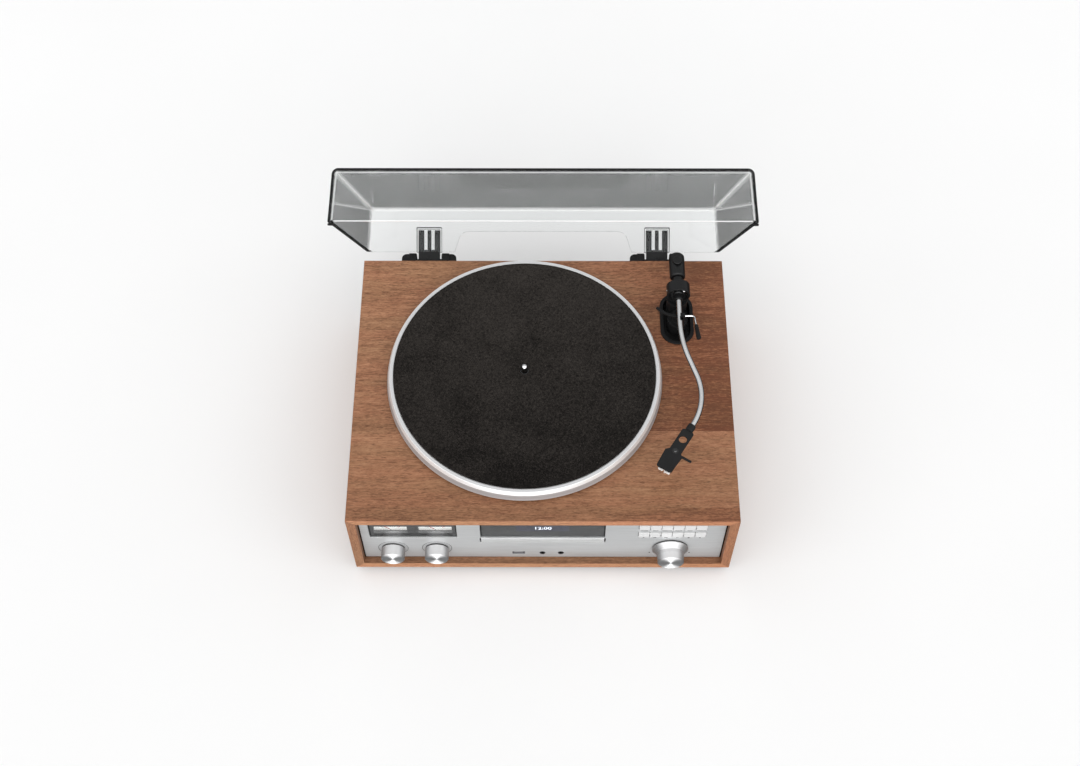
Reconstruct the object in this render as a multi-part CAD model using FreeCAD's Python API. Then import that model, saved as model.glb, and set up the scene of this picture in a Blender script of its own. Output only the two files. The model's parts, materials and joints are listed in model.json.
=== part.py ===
import FreeCAD, Part
import math
import os

# Record player with a wooden cabinet, silver front panel, S-shaped tonearm and clear dust cover.
# Millimetres. X to the right, Y to the back, Z up. The origin is under the middle of the cabinet,
# on the surface that the feet stand on. The dust cover is drawn open and the arm on its rest.

# Cabinet
case_width = 420.0
case_depth = 337.0
case_height = 120.0
board = 10.0
foot_height = 8.0
foot_radius = 15.0
foot_inset = 38.0
foot_edge = 1.0
rear_panel_thickness = 3.0
rear_rebate = 6.0

# Front panel with its windows and meters
fascia_recess = 8.3
fascia_thickness = 2.0
fascia_gap = 0.2
fascia_side_gap = 1.4
window_top_margin = 12.0
window_height = 37.4
window_thickness = 2.0
window_gap = 0.15
window_sink = 0.3
window_corner = 1.5
meter_window_from_left = 10.5
meter_window_width = 95.8
meter_width = 38.4
meter_gap = 10.4
meter_height = 29.5
meter_below_top = 2.0
meter_mask_height = 7.5
meter_depth = 18.0
meter_wall = 1.0
dial_depth = 5.5
needle_length = 21.5
needle_width = 0.7
needle_thickness = 0.6
needle_off_dial = 1.4
needle_pivot_height = 3.6
needle_rest_angle = 42.0
needle_pin_radius = 0.6
needle_pin_short = 0.3
needle_hub_radius = 1.8
needle_hub_length = 2.2
needle_hub_gap = 0.4
needle_clearance = 0.05
display_width = 136.6
display_module_width = 82.0
display_module_height = 26.0
display_module_depth = 9.0

# Disc drive
tray_width = 137.6
tray_front_height = 10.0
tray_front_thickness = 3.6
tray_front_proud = 0.6
tray_below_window = 1.5
tray_gap = 0.4
tray_length = 150.0
tray_plate = 3.5
tray_plate_up = 2.0
disc_radius = 60.0
disc_recess = 2.0
laser_slot_width = 40.0
laser_slot_front = 16.0
drive_wall = 3.0
drive_length = 172.0
drive_below_tray = 12.0
drive_rail = 6.0
drive_top_clear = 0.5
drive_leg_radius = 4.5
drive_leg_inset = 6.0
drive_leg_ends = 12.0
disc_motor_radius = 14.0
disc_motor_height = 3.0
disc_table_radius = 9.0
disc_table_height = 6.5
disc_boss_radius = 7.0
disc_boss_height = 8.2

# Sockets, buttons and knobs on the front panel
socket_height = 11.2
socket_depth = 14.0
socket_wall = 0.9
usb_width = 14.1
usb_height = 6.5
usb_from_middle = -26.8
usb_tongue = 1.8
usb_tongue_inset = 2.0
usb_tongue_back = 7.0
jack_radius = 3.2
jack_bore = 1.8
jack_bore_depth = 13.0
jack_proud = 0.4
jack_body_width = 10.0
jack_body_height = 11.0
jacks_from_middle = (-0.2, 20.4)
button_columns = 6
button_pitch = 12.37
button_gap = 0.45
button_height = 10.3
button_row_pitch = 17.4
buttons_from_right = 21.6
button_proud = 1.6
button_edge = 0.5
button_lip = 1.2
button_lip_thickness = 1.5
button_lip_gap = 0.3
button_travel = 1.0
button_stop_gap = 0.6
knob_gap = 0.6
knob_shaft_radius = 3.0
knob_chamfer = 1.0
knob_rim = 2.3
knob_dish = 0.5
shaft_clearance = 0.1
shaft_end_gap = 1.0
tone_knob_radius = 13.1
tone_knob_height = 14.2
tone_knobs_from_left = (34.0, 82.6)
tone_knob_up = 23.5
tone_ring_radius = 16.6
ring_groove = 0.5
volume_knob_radius = 14.4
volume_knob_flare = 0.7
volume_skirt_radius = 20.0
volume_skirt_edge = 0.9
volume_skirt_height = 6.0
volume_knob_height = 19.5
volume_knob_from_right = 58.6
volume_knob_up = 26.0

# Circuit boards and transformer
pot_radius = 8.5
pot_depth = 8.4
circuit_board = 1.6
control_board_margin = 12.0
button_board_margin = 4.0
main_board_width = 130.0
main_board_depth = 120.0
main_board_margin = 12.0
board_standoff = 8.0
standoff_radius = 3.0
standoff_inset = 6.0
capacitor_count = 3
capacitor_radius = 8.0
capacitor_height = 28.0
capacitor_pitch = 22.0
capacitor_inset = 25.0
heat_sink_inset = 20.0
heat_sink_back = 70.0
heat_sink_height = 32.0
heat_sink_web = 5.0
fin_count = 8
fin_length = 17.0
fin_thickness = 4.0
fin_gap = 6.0
transformer_width = 58.0
transformer_depth = 48.0
transformer_height = 48.0
transformer_from_right = 30.0
transformer_from_rear = 60.0
winding_bulge = 9.0
winding_inset = 10.0
winding_margin = 8.0

# Platter and its drive
spindle_from_left = 189.6
spindle_from_front = 176.0
spindle_radius = 3.6
spindle_seat_radius = 4.4
spindle_above_mat = 11.5
spindle_taper = 4.0
spindle_nose = 1.6
spindle_end_play = 0.3
mat_thickness = 3.0
mat_gap = 0.3
platter_radius = 150.0
platter_rim_width = 4.1
platter_bevel = 2.0
platter_flare = 3.6
platter_rim_up = 16.0
platter_bevel_down = 4.5
platter_clear = 3.0
platter_wall = 4.0
platter_top = 3.5
mat_recess = 1.5
inner_platter_radius = 62.0
inner_platter_clear = 4.0
inner_platter_wall = 6.0
inner_platter_web = 3.0
inner_hub_radius = 11.0
bearing_radius = 9.0
bearing_flange_radius = 18.0
bearing_flange = 2.0
bearing_length = 38.0
bearing_floor = 3.0
bearing_clearance = 0.06
belt_width = 4.5
belt_thickness = 0.9
belt_gap = 0.3
belt_up = 1.1
pulley_radius = 7.0
pulley_flange = 1.0
pulley_flange_thickness = 0.6
pulley_height = 5.8
pulley_clear = 0.2
pulley_hole_gap = 3.0
motor_radius = 18.0
motor_length = 32.0
motor_shaft_radius = 1.6
motor_shaft_depth = 16.0
motor_shaft_top_gap = 0.6
motor_angle = 135.0
motor_distance = 92.0

# Tonearm base, pillar and rest
arm_right_of_spindle = 173.4
arm_behind_spindle = 95.0
arm_up = 35.0
base_rim_radius = 19.0
base_rim_height = 2.2
base_rim_width = 2.6
base_straight = 31.0
base_depth = 9.0
base_wall = 1.6
pillar_radius = 11.8
pillar_up = 20.0
pillar_bridge = 10.0
yaw_shaft_radius = 4.0
yaw_shaft_foot = 1.4
yaw_shaft_top = 25.4
yaw_bore_foot = 1.0
yaw_gap = 0.4
cue_forward = 21.4
cue_housing_radius = 11.4
cue_housing_up = 10.0
cue_neck_radius = 6.0
cue_neck_up = 22.0
rest_back = 34.0
rest_length = 4.5
rest_post_from_arm = 4.0
rest_post_radius = 1.6
rest_post_below_arm = 5.0
rest_side_gap = 0.5
rest_lip_thickness = 2.4
rest_lip_gap = 0.4
rest_lip_short = 0.5
rest_hook_up = 2.2
rest_hook_thickness = 1.7
rest_hook_reach = 2.7

# Cue lever and lift bar
lever_up = 16.0
lever_radius = 1.1
lever_root = 3.0
lever_root_gap = 0.5
lever_reach = 18.7
lever_length = 29.8
lever_splay = 7.0
lever_bend = 3.2
grip_length = 18.5
grip_radius = 2.7
grip_neck_radius = 2.1
grip_end = 1.0
grip_round = 0.6
plunger_radius = 2.2
plunger_gap = 0.5
lift_radius = 31.3
lift_width = 3.0
lift_thickness = 2.4
lift_sweep = 52.0
lift_overrun = 4.0
lift_gap = 0.6
lift_tab_width = 4.8

# Moving arm
gimbal_radius = 13.2
gimbal_wall = 2.2
gimbal_length = 14.0
gimbal_foot_radius = 8.0
gimbal_foot_height = 8.0
pivot_pin_radius = 1.6
pivot_pin_sink = 0.6
pivot_pin_bite = 2.0
pivot_clearance = 0.06
pivot_socket_depth = 2.2
arm_block_radius = 5.85
arm_block_edge = 0.6
arm_block_step = 1.0
nose_radius = 4.6
nose_length = 13.0
neck_length = 17.0
stub_radius = 4.0
stub_length = 46.5
weight_radius = 8.8
weight_length = 31.5
weight_edge = 1.4
weight_round = 3.5
weight_gap = 0.3
weight_bore_gap = 0.1
weight_screw_radius = 5.6
weight_screw_sink = 3.0
weight_screw_up = 1.2
weight_screw_edge = 0.6
weight_screw_gap = 0.1
weight_screw_from_end = 12.5
weight_notch = 5.0
weight_notch_depth = 1.6
tube_radius = 3.0
tube_bore = 2.4
tube_seat = 6.0
first_bend = (0.0, -66.5)
first_bend_radius = 151.6
second_bend = (26.6, -143.9)
second_bend_radius = 73.5
head_angle = 32.4
last_run = 36.0

# Headshell, cartridge and stylus
collar_radius = 4.4
collar_length = 8.0
collar_edge = 0.5
shell_thickness = 2.4
shell_corner = 1.5
shell_neck_width = 13.7
shell_neck_length = 28.6
shell_width = 20.6
shell_tip_width = 17.6
shell_length = 54.0
shell_shoulder = 3.4
shell_hole_radius = 4.4
shell_hole_at = 12.4
finger_lift_reach = 21.0
finger_lift_width = 2.6
finger_lift_thickness = 1.4
finger_lift_at = 1.0
cartridge_width = 14.5
cartridge_back = 34.0
cartridge_front = 49.0
cartridge_height = 11.0
cartridge_chamfer = 2.0
stylus_holder_width = 12.0
stylus_holder_length = 5.0
stylus_holder_height = 7.5
stylus_holder_drop = 0.5
stylus_holder_chamfer = 1.5
stylus_drop = 15.0
stylus_radius = 0.9
stylus_point = 2.0
stylus_tip_radius = 0.25
stylus_tip = 0.4

# Dust cover and its hinges
cover_side_inset = 3.0
cover_front_inset = 2.6
cover_rear_inset = 3.0
cover_height = 52.4
cover_wall = 3.0
cover_draft = 4.0
cover_edge_radius = 6.5
cover_gap = 2.5
cover_angle = 59.4
notch_width = 208.0
notch_top_width = 192.0
notch_height = 24.0
notch_radius = 12.0
bumper_radius = 2.75
bumper_clear = 0.3
bumper_from_front = 16.0
hinge_spacing = 268.0
hinge_clear = 0.4
hinge_down = 8.9
knuckle_radius = 3.8
knuckle_width = 28.0
hinge_pin_radius = 1.5
hinge_pin_bite = 8.0
hinge_clearance = 0.05
bracket_width = 64.0
bracket_depth = 10.0
bracket_height = 40.0
bracket_gap = 0.5
bracket_round = 6.0
bracket_step_gap = 0.6
bracket_step_width = 8.5
bracket_step_height = 1.5
tongue_width = 25.0
tongue_height = 26.0
tongue_thickness = 3.0
tongue_clear = 0.6
finger_count = 3
finger_slot = 4.0
finger_root = 3.0
socket_side = 1.8
socket_height_up = 29.0
socket_clear = 0.3
hinge_screw_radius = 2.2
hinge_screw_head = 1.2
hinge_screw_sink = 0.1
hinge_screw_up = 5.3

# Rear connections and fasteners
screw_radius = 1.5
screw_head_radius = 2.7
screw_head = 1.6
screw_slot = 0.7
screw_length = 12.0
fit_clearance = 0.05
bracket_screw_radius = 2.0
bracket_screw_head_radius = 3.6
bracket_screw_down = 28.0
bracket_screw_through = 2.0
inlet_from_right = 60.0
inlet_up = 40.0
inlet_width = 26.0
inlet_height = 18.0
inlet_depth = 17.0
inlet_flange = 3.0
inlet_plate = 2.0
inlet_wall = 2.0
inlet_pin_radius = 1.2
inlet_pin_spacing = 13.0
inlet_pin_length = 12.0
terminal_from_left = 120.0
terminal_up = 44.0
terminal_count = 4
terminal_pitch = 18.0
terminal_radius = 5.2
terminal_length = 15.0
terminal_collar = 3.0
terminal_groove = 1.4
terminal_edge = 1.0
terminal_stem_radius = 2.5
terminal_tail = 6.0
line_socket_count = 3
line_socket_radius = 4.2
line_socket_length = 9.0
line_socket_bore = 1.6
line_socket_drop = 25.2

# How far a cutting shape runs past the face that it cuts
over = 1.0

# Places worked out from the sizes above
X = FreeCAD.Vector(1, 0, 0)
Y = FreeCAD.Vector(0, 1, 0)
Z = FreeCAD.Vector(0, 0, 1)
left = -case_width / 2
right = case_width / 2
front = -case_depth / 2
rear = case_depth / 2
under_z = foot_height
top_z = foot_height + case_height
left_inner = left + board
right_inner = right - board
floor_z = under_z + board
ceiling_z = top_z - board
fascia_y = front + fascia_recess
fascia_back_y = fascia_y + fascia_thickness
window_top_z = ceiling_z - window_top_margin
window_z = window_top_z - window_height
pane_back_y = fascia_y + window_sink + window_thickness
tray_top_z = window_z - tray_below_window
tray_z = tray_top_z - tray_front_height
socket_z = floor_z + socket_height
control_board_y = fascia_back_y + pot_depth
rear_panel_y = rear - rear_panel_thickness
spindle_x = left + spindle_from_left
spindle_y = front + spindle_from_front
mat_radius = platter_radius - platter_rim_width - mat_gap
pivot_x = spindle_x + arm_right_of_spindle
pivot_y = spindle_y + arm_behind_spindle
arm_z = top_z + arm_up
base_floor_z = top_z - base_depth + base_wall
base_floor_up = base_floor_z - top_z
hinge_y = rear + knuckle_radius + hinge_clear
hinge_z = top_z - hinge_down
hinge_middles = (-hinge_spacing / 2, hinge_spacing / 2)
rim_z = top_z + cover_gap
cover_half_width = case_width / 2 - cover_side_inset
cover_front_y = front + cover_front_inset
cover_rear_y = rear - cover_rear_inset

made = []


def at(x, y, z):
    return FreeCAD.Vector(x, y, z)


def block(x0, x1, y0, y1, z0, z1):
    return Part.makeBox(x1 - x0, y1 - y0, z1 - z0, at(x0, y0, z0))


def rod(radius, start, along, length):
    return Part.makeCylinder(radius, length, start, along)


def sleeve(outer, inner, start, along, length):
    return rod(outer, start, along, length).cut(rod(inner, start, along, length))


def outline_face(points):
    return Part.Face(Part.makePolygon(list(points) + [points[0]]))


def turned(profile, start, along):
    """Solid of revolution from (radius, height) points, standing on start along a direction."""
    face = outline_face([at(radius, 0, height) for radius, height in profile])
    solid = face.revolve(at(0, 0, 0), Z, 360)
    solid.Placement = FreeCAD.Placement(start, FreeCAD.Rotation(Z, along))
    return solid


def plate(points, z0, z1):
    return outline_face([at(x, y, z0) for x, y in points]).extrude(at(0, 0, z1 - z0))


def obround(radius, straight, x, y_back, z0, z1):
    """Vertical slab with round ends; its back end is centred on (x, y_back)."""
    slab = block(x - radius, x + radius, y_back - straight, y_back, z0, z1)
    back_end = rod(radius, at(x, y_back, z0), Z, z1 - z0)
    front_end = rod(radius, at(x, y_back - straight, z0), Z, z1 - z0)
    return slab.fuse([back_end, front_end]).removeSplitter()


def joined(first, *others):
    return first.fuse(list(others)).removeSplitter()


def edges_along(shape, direction, keep):
    """Straight edges parallel to a direction whose middle passes the test."""
    picked = []
    for edge in shape.Edges:
        if len(edge.Vertexes) != 2:
            continue
        run = edge.Vertexes[1].Point - edge.Vertexes[0].Point
        if run.cross(direction).Length < 1e-6 and keep(edge.CenterOfMass):
            picked.append(edge)
    return picked


def row(count, pitch):
    """Offsets of equally spaced things, centred on zero."""
    return [(number - (count - 1) / 2) * pitch for number in range(count)]


def save(name, *solids):
    shape = solids[0] if len(solids) == 1 else Part.makeCompound(list(solids))
    shape.exportStep(os.path.join("parts", name + ".step"))
    made.append(name)


def screw(head_at, inward, shank_radius, head_radius, shank_length):
    """Pan head screw: the head stands outside the seat, the shank goes inward."""
    head = rod(head_radius, head_at, inward * -1, screw_head)
    slot = Part.makeBox(2 * head_radius, screw_slot, screw_slot, at(-head_radius, -screw_slot / 2, 0))
    slot.Placement = FreeCAD.Placement(
        head_at - inward * screw_head, FreeCAD.Rotation(Z, inward)).multiply(slot.Placement)
    return joined(head.cut(slot), rod(shank_radius, head_at, inward, shank_length))


def screw_hole(head_at, inward, shank_radius, depth):
    return rod(shank_radius + fit_clearance, head_at, inward, depth)


def rear_panel_screw_places():
    across = case_width / 2 - board + rear_rebate / 2
    up = case_height / 2 - board + rear_rebate / 2
    middle_z = under_z + case_height / 2
    return [at(x, rear, middle_z + side * up) for x in (-across, 0.0, across) for side in (-1, 1)]


def bracket_screw_places():
    reach = (bracket_width + knuckle_width) / 4
    return [at(middle + side * reach, rear + bracket_depth, top_z - bracket_screw_down)
            for middle in hinge_middles for side in (-1, 1)]


def motor_place():
    turn = math.radians(motor_angle)
    return (spindle_x + motor_distance * math.cos(turn), spindle_y + motor_distance * math.sin(turn))


def rear_panel_block():
    return block(left_inner - rear_rebate, right_inner + rear_rebate, rear_panel_y, rear,
                 floor_z - rear_rebate, ceiling_z + rear_rebate)


def make_cabinet():
    """Four mitred boards with a rebate for the rear panel, and the feet."""
    cuts = [rear_panel_block()]
    for place in rear_panel_screw_places():
        cuts.append(screw_hole(place, Y * -1, screw_radius, screw_length + over))

    def mitred(corners):
        face = outline_face([at(x, front, z) for x, z in corners])
        return face.extrude(at(0, case_depth, 0))

    top = mitred([(left, top_z), (right, top_z), (right_inner, ceiling_z), (left_inner, ceiling_z)])
    base = mitred([(left, under_z), (right, under_z), (right_inner, floor_z), (left_inner, floor_z)])
    sides = []
    for outer, inner in ((left, left_inner), (right, right_inner)):
        side = mitred([(outer, under_z), (outer, top_z), (inner, ceiling_z), (inner, floor_z)])
        sides.append(side.cut(cuts))

    motor_x, motor_y = motor_place()
    hole_z = ceiling_z - over
    through = board + 2 * over
    openings = [
        rod(bearing_radius + fit_clearance, at(spindle_x, spindle_y, hole_z), Z, through),
        rod(pulley_radius + pulley_hole_gap, at(motor_x, motor_y, hole_z), Z, through),
        obround(base_rim_radius - base_rim_width + fit_clearance, base_straight, pivot_x, pivot_y,
                hole_z, hole_z + through),
    ]
    save("top_board", top.cut(cuts + openings))
    save("base_board", base.cut(cuts))
    save("side_boards", *sides)

    foot_profile = [(0, 0), (foot_radius - 2 * foot_edge, 0), (foot_radius - foot_edge, foot_edge),
                    (foot_radius, foot_height), (0, foot_height)]
    feet = []
    for x in (left + foot_inset, right - foot_inset):
        for y in (front + foot_inset, rear - foot_inset):
            feet.append(turned(foot_profile, at(x, y, 0), Z))
    save("rubber_feet", *feet)


def make_mains_inlet(x, z):
    """Flanged inlet with two pins; returns the hole that it needs in the rear panel."""
    half_w = inlet_width / 2
    half_h = inlet_height / 2
    back_y = rear - inlet_depth
    flange = block(x - half_w - inlet_flange, x + half_w + inlet_flange, rear, rear + inlet_plate,
                   z - half_h - inlet_flange, z + half_h + inlet_flange)
    body = block(x - half_w, x + half_w, back_y, rear, z - half_h, z + half_h)
    cavity = block(x - half_w + inlet_wall, x + half_w - inlet_wall, back_y + inlet_wall,
                   rear + inlet_plate + over, z - half_h + inlet_wall, z + half_h - inlet_wall)
    pins = [rod(inlet_pin_radius, at(x + offset, back_y + inlet_wall, z), Y, inlet_pin_length)
            for offset in row(2, inlet_pin_spacing)]
    save("mains_inlet", joined(flange.fuse(body).cut(cavity), *pins))
    return block(x - half_w, x + half_w, rear_panel_y - over, rear + over, z - half_h, z + half_h)


def make_rear_terminals(middle_x, middle_z):
    """Loudspeaker terminals above line sockets; returns the holes that they need in the rear panel."""
    r = terminal_radius
    waist = r - terminal_groove
    cap = [(0, 0), (r, 0), (r, terminal_collar), (waist, terminal_collar + terminal_edge),
           (waist, 2 * terminal_collar), (r, 2 * terminal_collar + terminal_edge),
           (r, terminal_length - terminal_edge), (r - terminal_edge, terminal_length), (0, terminal_length)]
    tail_y = rear_panel_y - terminal_tail
    tail = rear - tail_y
    solids = []
    holes = []
    for offset in row(terminal_count, terminal_pitch):
        x = middle_x + offset
        stem = rod(terminal_stem_radius, at(x, tail_y, middle_z), Y, tail)
        solids.append(joined(turned(cap, at(x, rear, middle_z), Y), stem))
        holes.append(rod(terminal_stem_radius + fit_clearance, at(x, tail_y, middle_z), Y, tail + over))
    for offset in row(line_socket_count, terminal_pitch):
        x = middle_x + offset
        z = middle_z - line_socket_drop
        barrel = sleeve(line_socket_radius, line_socket_bore, at(x, rear, z), Y, line_socket_length)
        solids.append(joined(barrel, rod(line_socket_radius, at(x, tail_y, z), Y, tail)))
        holes.append(rod(line_socket_radius + fit_clearance, at(x, tail_y, z), Y, tail + over))
    save("rear_terminals", *solids)
    return holes


def make_rear_panel():
    """Rear panel, its sockets and every screw head that shows at the back."""
    holes = [make_mains_inlet(right_inner - inlet_from_right, floor_z + inlet_up)]
    holes += make_rear_terminals(left_inner + terminal_from_left, floor_z + terminal_up)
    screws = []
    for place in rear_panel_screw_places():
        holes.append(screw_hole(place, Y * -1, screw_radius, rear_panel_thickness))
        screws.append(screw(place, Y * -1, screw_radius, screw_head_radius, screw_length))
    grip = bracket_depth + rear_panel_thickness + bracket_screw_through
    for place in bracket_screw_places():
        holes.append(screw_hole(place, Y * -1, bracket_screw_radius, grip + over))
        screws.append(screw(place, Y * -1, bracket_screw_radius, bracket_screw_head_radius, grip))
    save("case_screws", *screws)
    save("rear_panel", rear_panel_block().cut(holes))


def fascia_cut(x0, x1, z0, z1):
    return block(x0, x1, fascia_y - over, fascia_back_y + over, z0, z1)


def window_form(x0, x1, y0, y1, shrink):
    """Block of a window's height with its two lower corners rounded."""
    solid = block(x0 + shrink, x1 - shrink, y0, y1, window_z + shrink, window_top_z - shrink)
    corners = edges_along(solid, Y, lambda c: c.z < window_z + over)
    return solid.makeFillet(window_corner - shrink, corners)


def window_pane(x0, x1):
    """Pane that fills a window opening of the fascia, a little below its face."""
    return window_form(x0, x1, fascia_y + window_sink, pane_back_y, window_gap)


def meter_window_span():
    start = left_inner + meter_window_from_left
    return (start, start + meter_window_width)


def meter_middles():
    middle = sum(meter_window_span()) / 2
    return [middle + offset for offset in row(2, meter_width + meter_gap)]


def tone_knob_places():
    return [(left_inner + offset, floor_z + tone_knob_up) for offset in tone_knobs_from_left]


def volume_knob_place():
    return (right_inner - volume_knob_from_right, floor_z + volume_knob_up)


def button_row_heights():
    """Lower edges of the two rows, which stand level with the middle of the windows."""
    middle = window_z + window_height / 2
    return [middle - offset - button_height / 2 for offset in row(2, button_row_pitch)]


def button_span():
    end = right_inner - buttons_from_right
    return (end - button_columns * button_pitch, end)


def make_fascia():
    """Front panel with an opening for every control."""
    panel = block(left_inner + fascia_side_gap, right_inner - fascia_side_gap, fascia_y, fascia_back_y,
                  floor_z + fascia_gap, ceiling_z - fascia_gap)
    meter_x0, meter_x1 = meter_window_span()
    button_x0, button_x1 = button_span()
    tray_half = tray_width / 2 + tray_gap
    cuts = [window_form(meter_x0, meter_x1, fascia_y - over, fascia_back_y + over, 0),
            window_form(-display_width / 2, display_width / 2, fascia_y - over, fascia_back_y + over, 0),
            fascia_cut(-tray_half, tray_half, tray_z - tray_gap, tray_top_z + tray_gap),
            fascia_cut(usb_from_middle - usb_width / 2, usb_from_middle + usb_width / 2,
                       socket_z - usb_height / 2, socket_z + usb_height / 2)]
    for z in button_row_heights():
        cuts.append(fascia_cut(button_x0 - button_gap / 2, button_x1 + button_gap / 2,
                               z - button_gap, z + button_height + button_gap))
    through = fascia_thickness + 2 * over
    for x, z in tone_knob_places() + [volume_knob_place()]:
        cuts.append(rod(knob_shaft_radius + shaft_clearance, at(x, fascia_y - over, z), Y, through))
    for x, z in tone_knob_places():
        cuts.append(sleeve(tone_ring_radius, tone_ring_radius - ring_groove,
                           at(x, fascia_y - over, z), Y, over + ring_groove))
    for x in jacks_from_middle:
        cuts.append(rod(jack_radius, at(x, fascia_y - over, socket_z), Y, through))
    save("fascia", panel.cut(cuts))


def make_meters():
    """Dark window, two meter bodies behind it, and their needles."""
    save("meter_window", window_pane(*meter_window_span()))
    half = meter_width / 2
    inner = half - meter_wall
    meter_z = window_top_z - meter_height - meter_below_top
    dial_y = pane_back_y + dial_depth
    bodies = []
    for name, middle in zip(("needle_left", "needle_right"), meter_middles()):
        case = block(middle - half, middle + half, pane_back_y, pane_back_y + meter_depth,
                     meter_z, meter_z + meter_height)
        hollow = block(middle - inner, middle + inner, pane_back_y - over, dial_y,
                       meter_z + meter_wall, meter_z + meter_height - meter_wall)
        mask = block(middle - inner, middle + inner, pane_back_y, pane_back_y + meter_wall,
                     meter_z + meter_wall, meter_z + meter_mask_height)
        pivot = at(middle, dial_y, meter_z + needle_pivot_height)
        pin = rod(needle_pin_radius, pivot, Y * -1, dial_depth - meter_wall - needle_pin_short)
        bodies.append(joined(case.cut(hollow), mask, pin))

        hub = sleeve(needle_hub_radius, needle_pin_radius + needle_clearance,
                     pivot - Y * needle_hub_gap, Y * -1, needle_hub_length)
        blade_y = dial_y - needle_off_dial
        blade_start = needle_hub_radius - needle_width / 2
        blade = block(pivot.x - needle_width / 2, pivot.x + needle_width / 2, blade_y - needle_thickness,
                      blade_y, pivot.z + blade_start, pivot.z + needle_length)
        needle = joined(hub, blade)
        needle.rotate(pivot, Y, -needle_rest_angle)
        save(name, needle)
    save("meter_bodies", *bodies)


def make_display():
    """Dark display window with the display module against its back."""
    save("display_window", window_pane(-display_width / 2, display_width / 2))
    middle_z = window_z + window_height / 2
    save("display_module", block(-display_module_width / 2, display_module_width / 2, pane_back_y,
                                 pane_back_y + display_module_depth,
                                 middle_z - display_module_height / 2,
                                 middle_z + display_module_height / 2))


def make_disc_drive():
    """Tray with its front strip, and the drive chassis that it slides in."""
    strip_y = fascia_y - tray_front_proud
    strip_back = strip_y + tray_front_thickness
    strip = block(-tray_width / 2, tray_width / 2, strip_y, strip_back, tray_z, tray_top_z)
    half = tray_width / 2 - drive_wall - tray_gap
    plate_z = tray_z + tray_plate_up
    plate_top = plate_z + tray_plate
    disc_y = strip_back + tray_length / 2
    bed = block(-half, half, strip_back, strip_back + tray_length, plate_z, plate_top)
    recess = rod(disc_radius, at(0, disc_y, plate_top - disc_recess), Z, disc_recess + over)
    slot = block(-laser_slot_width / 2, laser_slot_width / 2, disc_y - laser_slot_front,
                 strip_back + tray_length + over, plate_z - over, plate_top + over)
    save("cd_tray", joined(strip, bed).cut([recess, slot]))

    outer = half + tray_gap + drive_wall
    strip_half = tray_width / 2 + tray_gap
    back_y = fascia_back_y + drive_length
    chassis_z = plate_z - drive_below_tray
    wall_top = tray_top_z - drive_top_clear
    chassis = block(-outer, outer, fascia_back_y, back_y, chassis_z, wall_top).cut([
        block(-half - tray_gap, half + tray_gap, fascia_back_y - over, back_y - drive_wall,
              plate_z - tray_gap, wall_top + over),
        block(-half + drive_rail, half - drive_rail, fascia_back_y + drive_rail, back_y - drive_wall,
              chassis_z + drive_wall, wall_top + over),
        block(-strip_half, strip_half, fascia_back_y - over, strip_back + tray_gap, tray_z - tray_gap,
              wall_top + over),
    ])
    hub = turned([(0, 0), (disc_motor_radius, 0), (disc_motor_radius, disc_motor_height),
                  (disc_table_radius, disc_motor_height), (disc_table_radius, disc_table_height),
                  (disc_boss_radius, disc_table_height), (disc_boss_radius, disc_boss_height),
                  (0, disc_boss_height)], at(0, disc_y, chassis_z + drive_wall), Z)
    legs = []
    for x in (drive_leg_inset - outer, outer - drive_leg_inset):
        for y in (fascia_back_y + drive_leg_ends, back_y - drive_leg_ends):
            legs.append(rod(drive_leg_radius, at(x, y, floor_z), Z, chassis_z - floor_z + over))
    save("cd_drive", joined(chassis, hub, *legs))


def make_front_sockets():
    """USB socket and two jack sockets, seated in the fascia."""
    x0 = usb_from_middle - usb_width / 2
    x1 = usb_from_middle + usb_width / 2
    z0 = socket_z - usb_height / 2
    z1 = socket_z + usb_height / 2
    end_y = fascia_y + socket_depth
    shell = block(x0, x1, fascia_y, end_y, z0, z1)
    cavity = block(x0 + socket_wall, x1 - socket_wall, fascia_y - over, end_y - socket_wall,
                   z0 + socket_wall, z1 - socket_wall)
    tongue = block(x0 + usb_tongue_inset, x1 - usb_tongue_inset, fascia_y + usb_tongue_back,
                   end_y - socket_wall, z1 - socket_wall - usb_tongue, z1 - socket_wall)
    sockets = [joined(shell.cut(cavity), tongue)]
    for x in jacks_from_middle:
        mouth = at(x, fascia_y - jack_proud, socket_z)
        nose = rod(jack_radius, mouth, Y, fascia_thickness + jack_proud)
        body = block(x - jack_body_width / 2, x + jack_body_width / 2, fascia_back_y,
                     fascia_back_y + socket_depth, socket_z - jack_body_height / 2,
                     socket_z + jack_body_height / 2)
        sockets.append(joined(nose, body).cut(rod(jack_bore, mouth, Y, jack_proud + jack_bore_depth)))
    save("front_sockets", *sockets)


def make_buttons():
    """Two rows of push buttons, each with a lip that holds it behind the fascia."""
    front_y = fascia_y - button_proud
    stop_y = control_board_y - button_travel - button_stop_gap
    lip_y = fascia_back_y + button_lip_gap
    for row_name, z in zip(("upper", "lower"), button_row_heights()):
        for column in range(button_columns):
            x0 = button_span()[0] + column * button_pitch + button_gap / 2
            x1 = x0 + button_pitch - button_gap
            cap = block(x0, x1, front_y, stop_y, z, z + button_height)
            face_edges = [edge for edge in cap.Edges if edge.CenterOfMass.y < front_y + button_edge]
            face_edges = [edge for edge in face_edges if edge.BoundBox.YLength < button_edge]
            cap = cap.makeFillet(button_edge, face_edges)
            lip = block(x0, x1, lip_y, lip_y + button_lip_thickness, z - button_lip,
                        z + button_height + button_lip)
            save("button_%s_%d" % (row_name, column + 1), joined(cap, lip))


def knob_crown(radius, height):
    """Upper end of a knob's profile: chamfered rim round a shallow dish."""
    inner = radius - knob_rim
    return [(radius, height - knob_chamfer), (radius - knob_chamfer, height), (inner, height),
            (inner, height - knob_dish), (0, height - knob_dish)]


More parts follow.
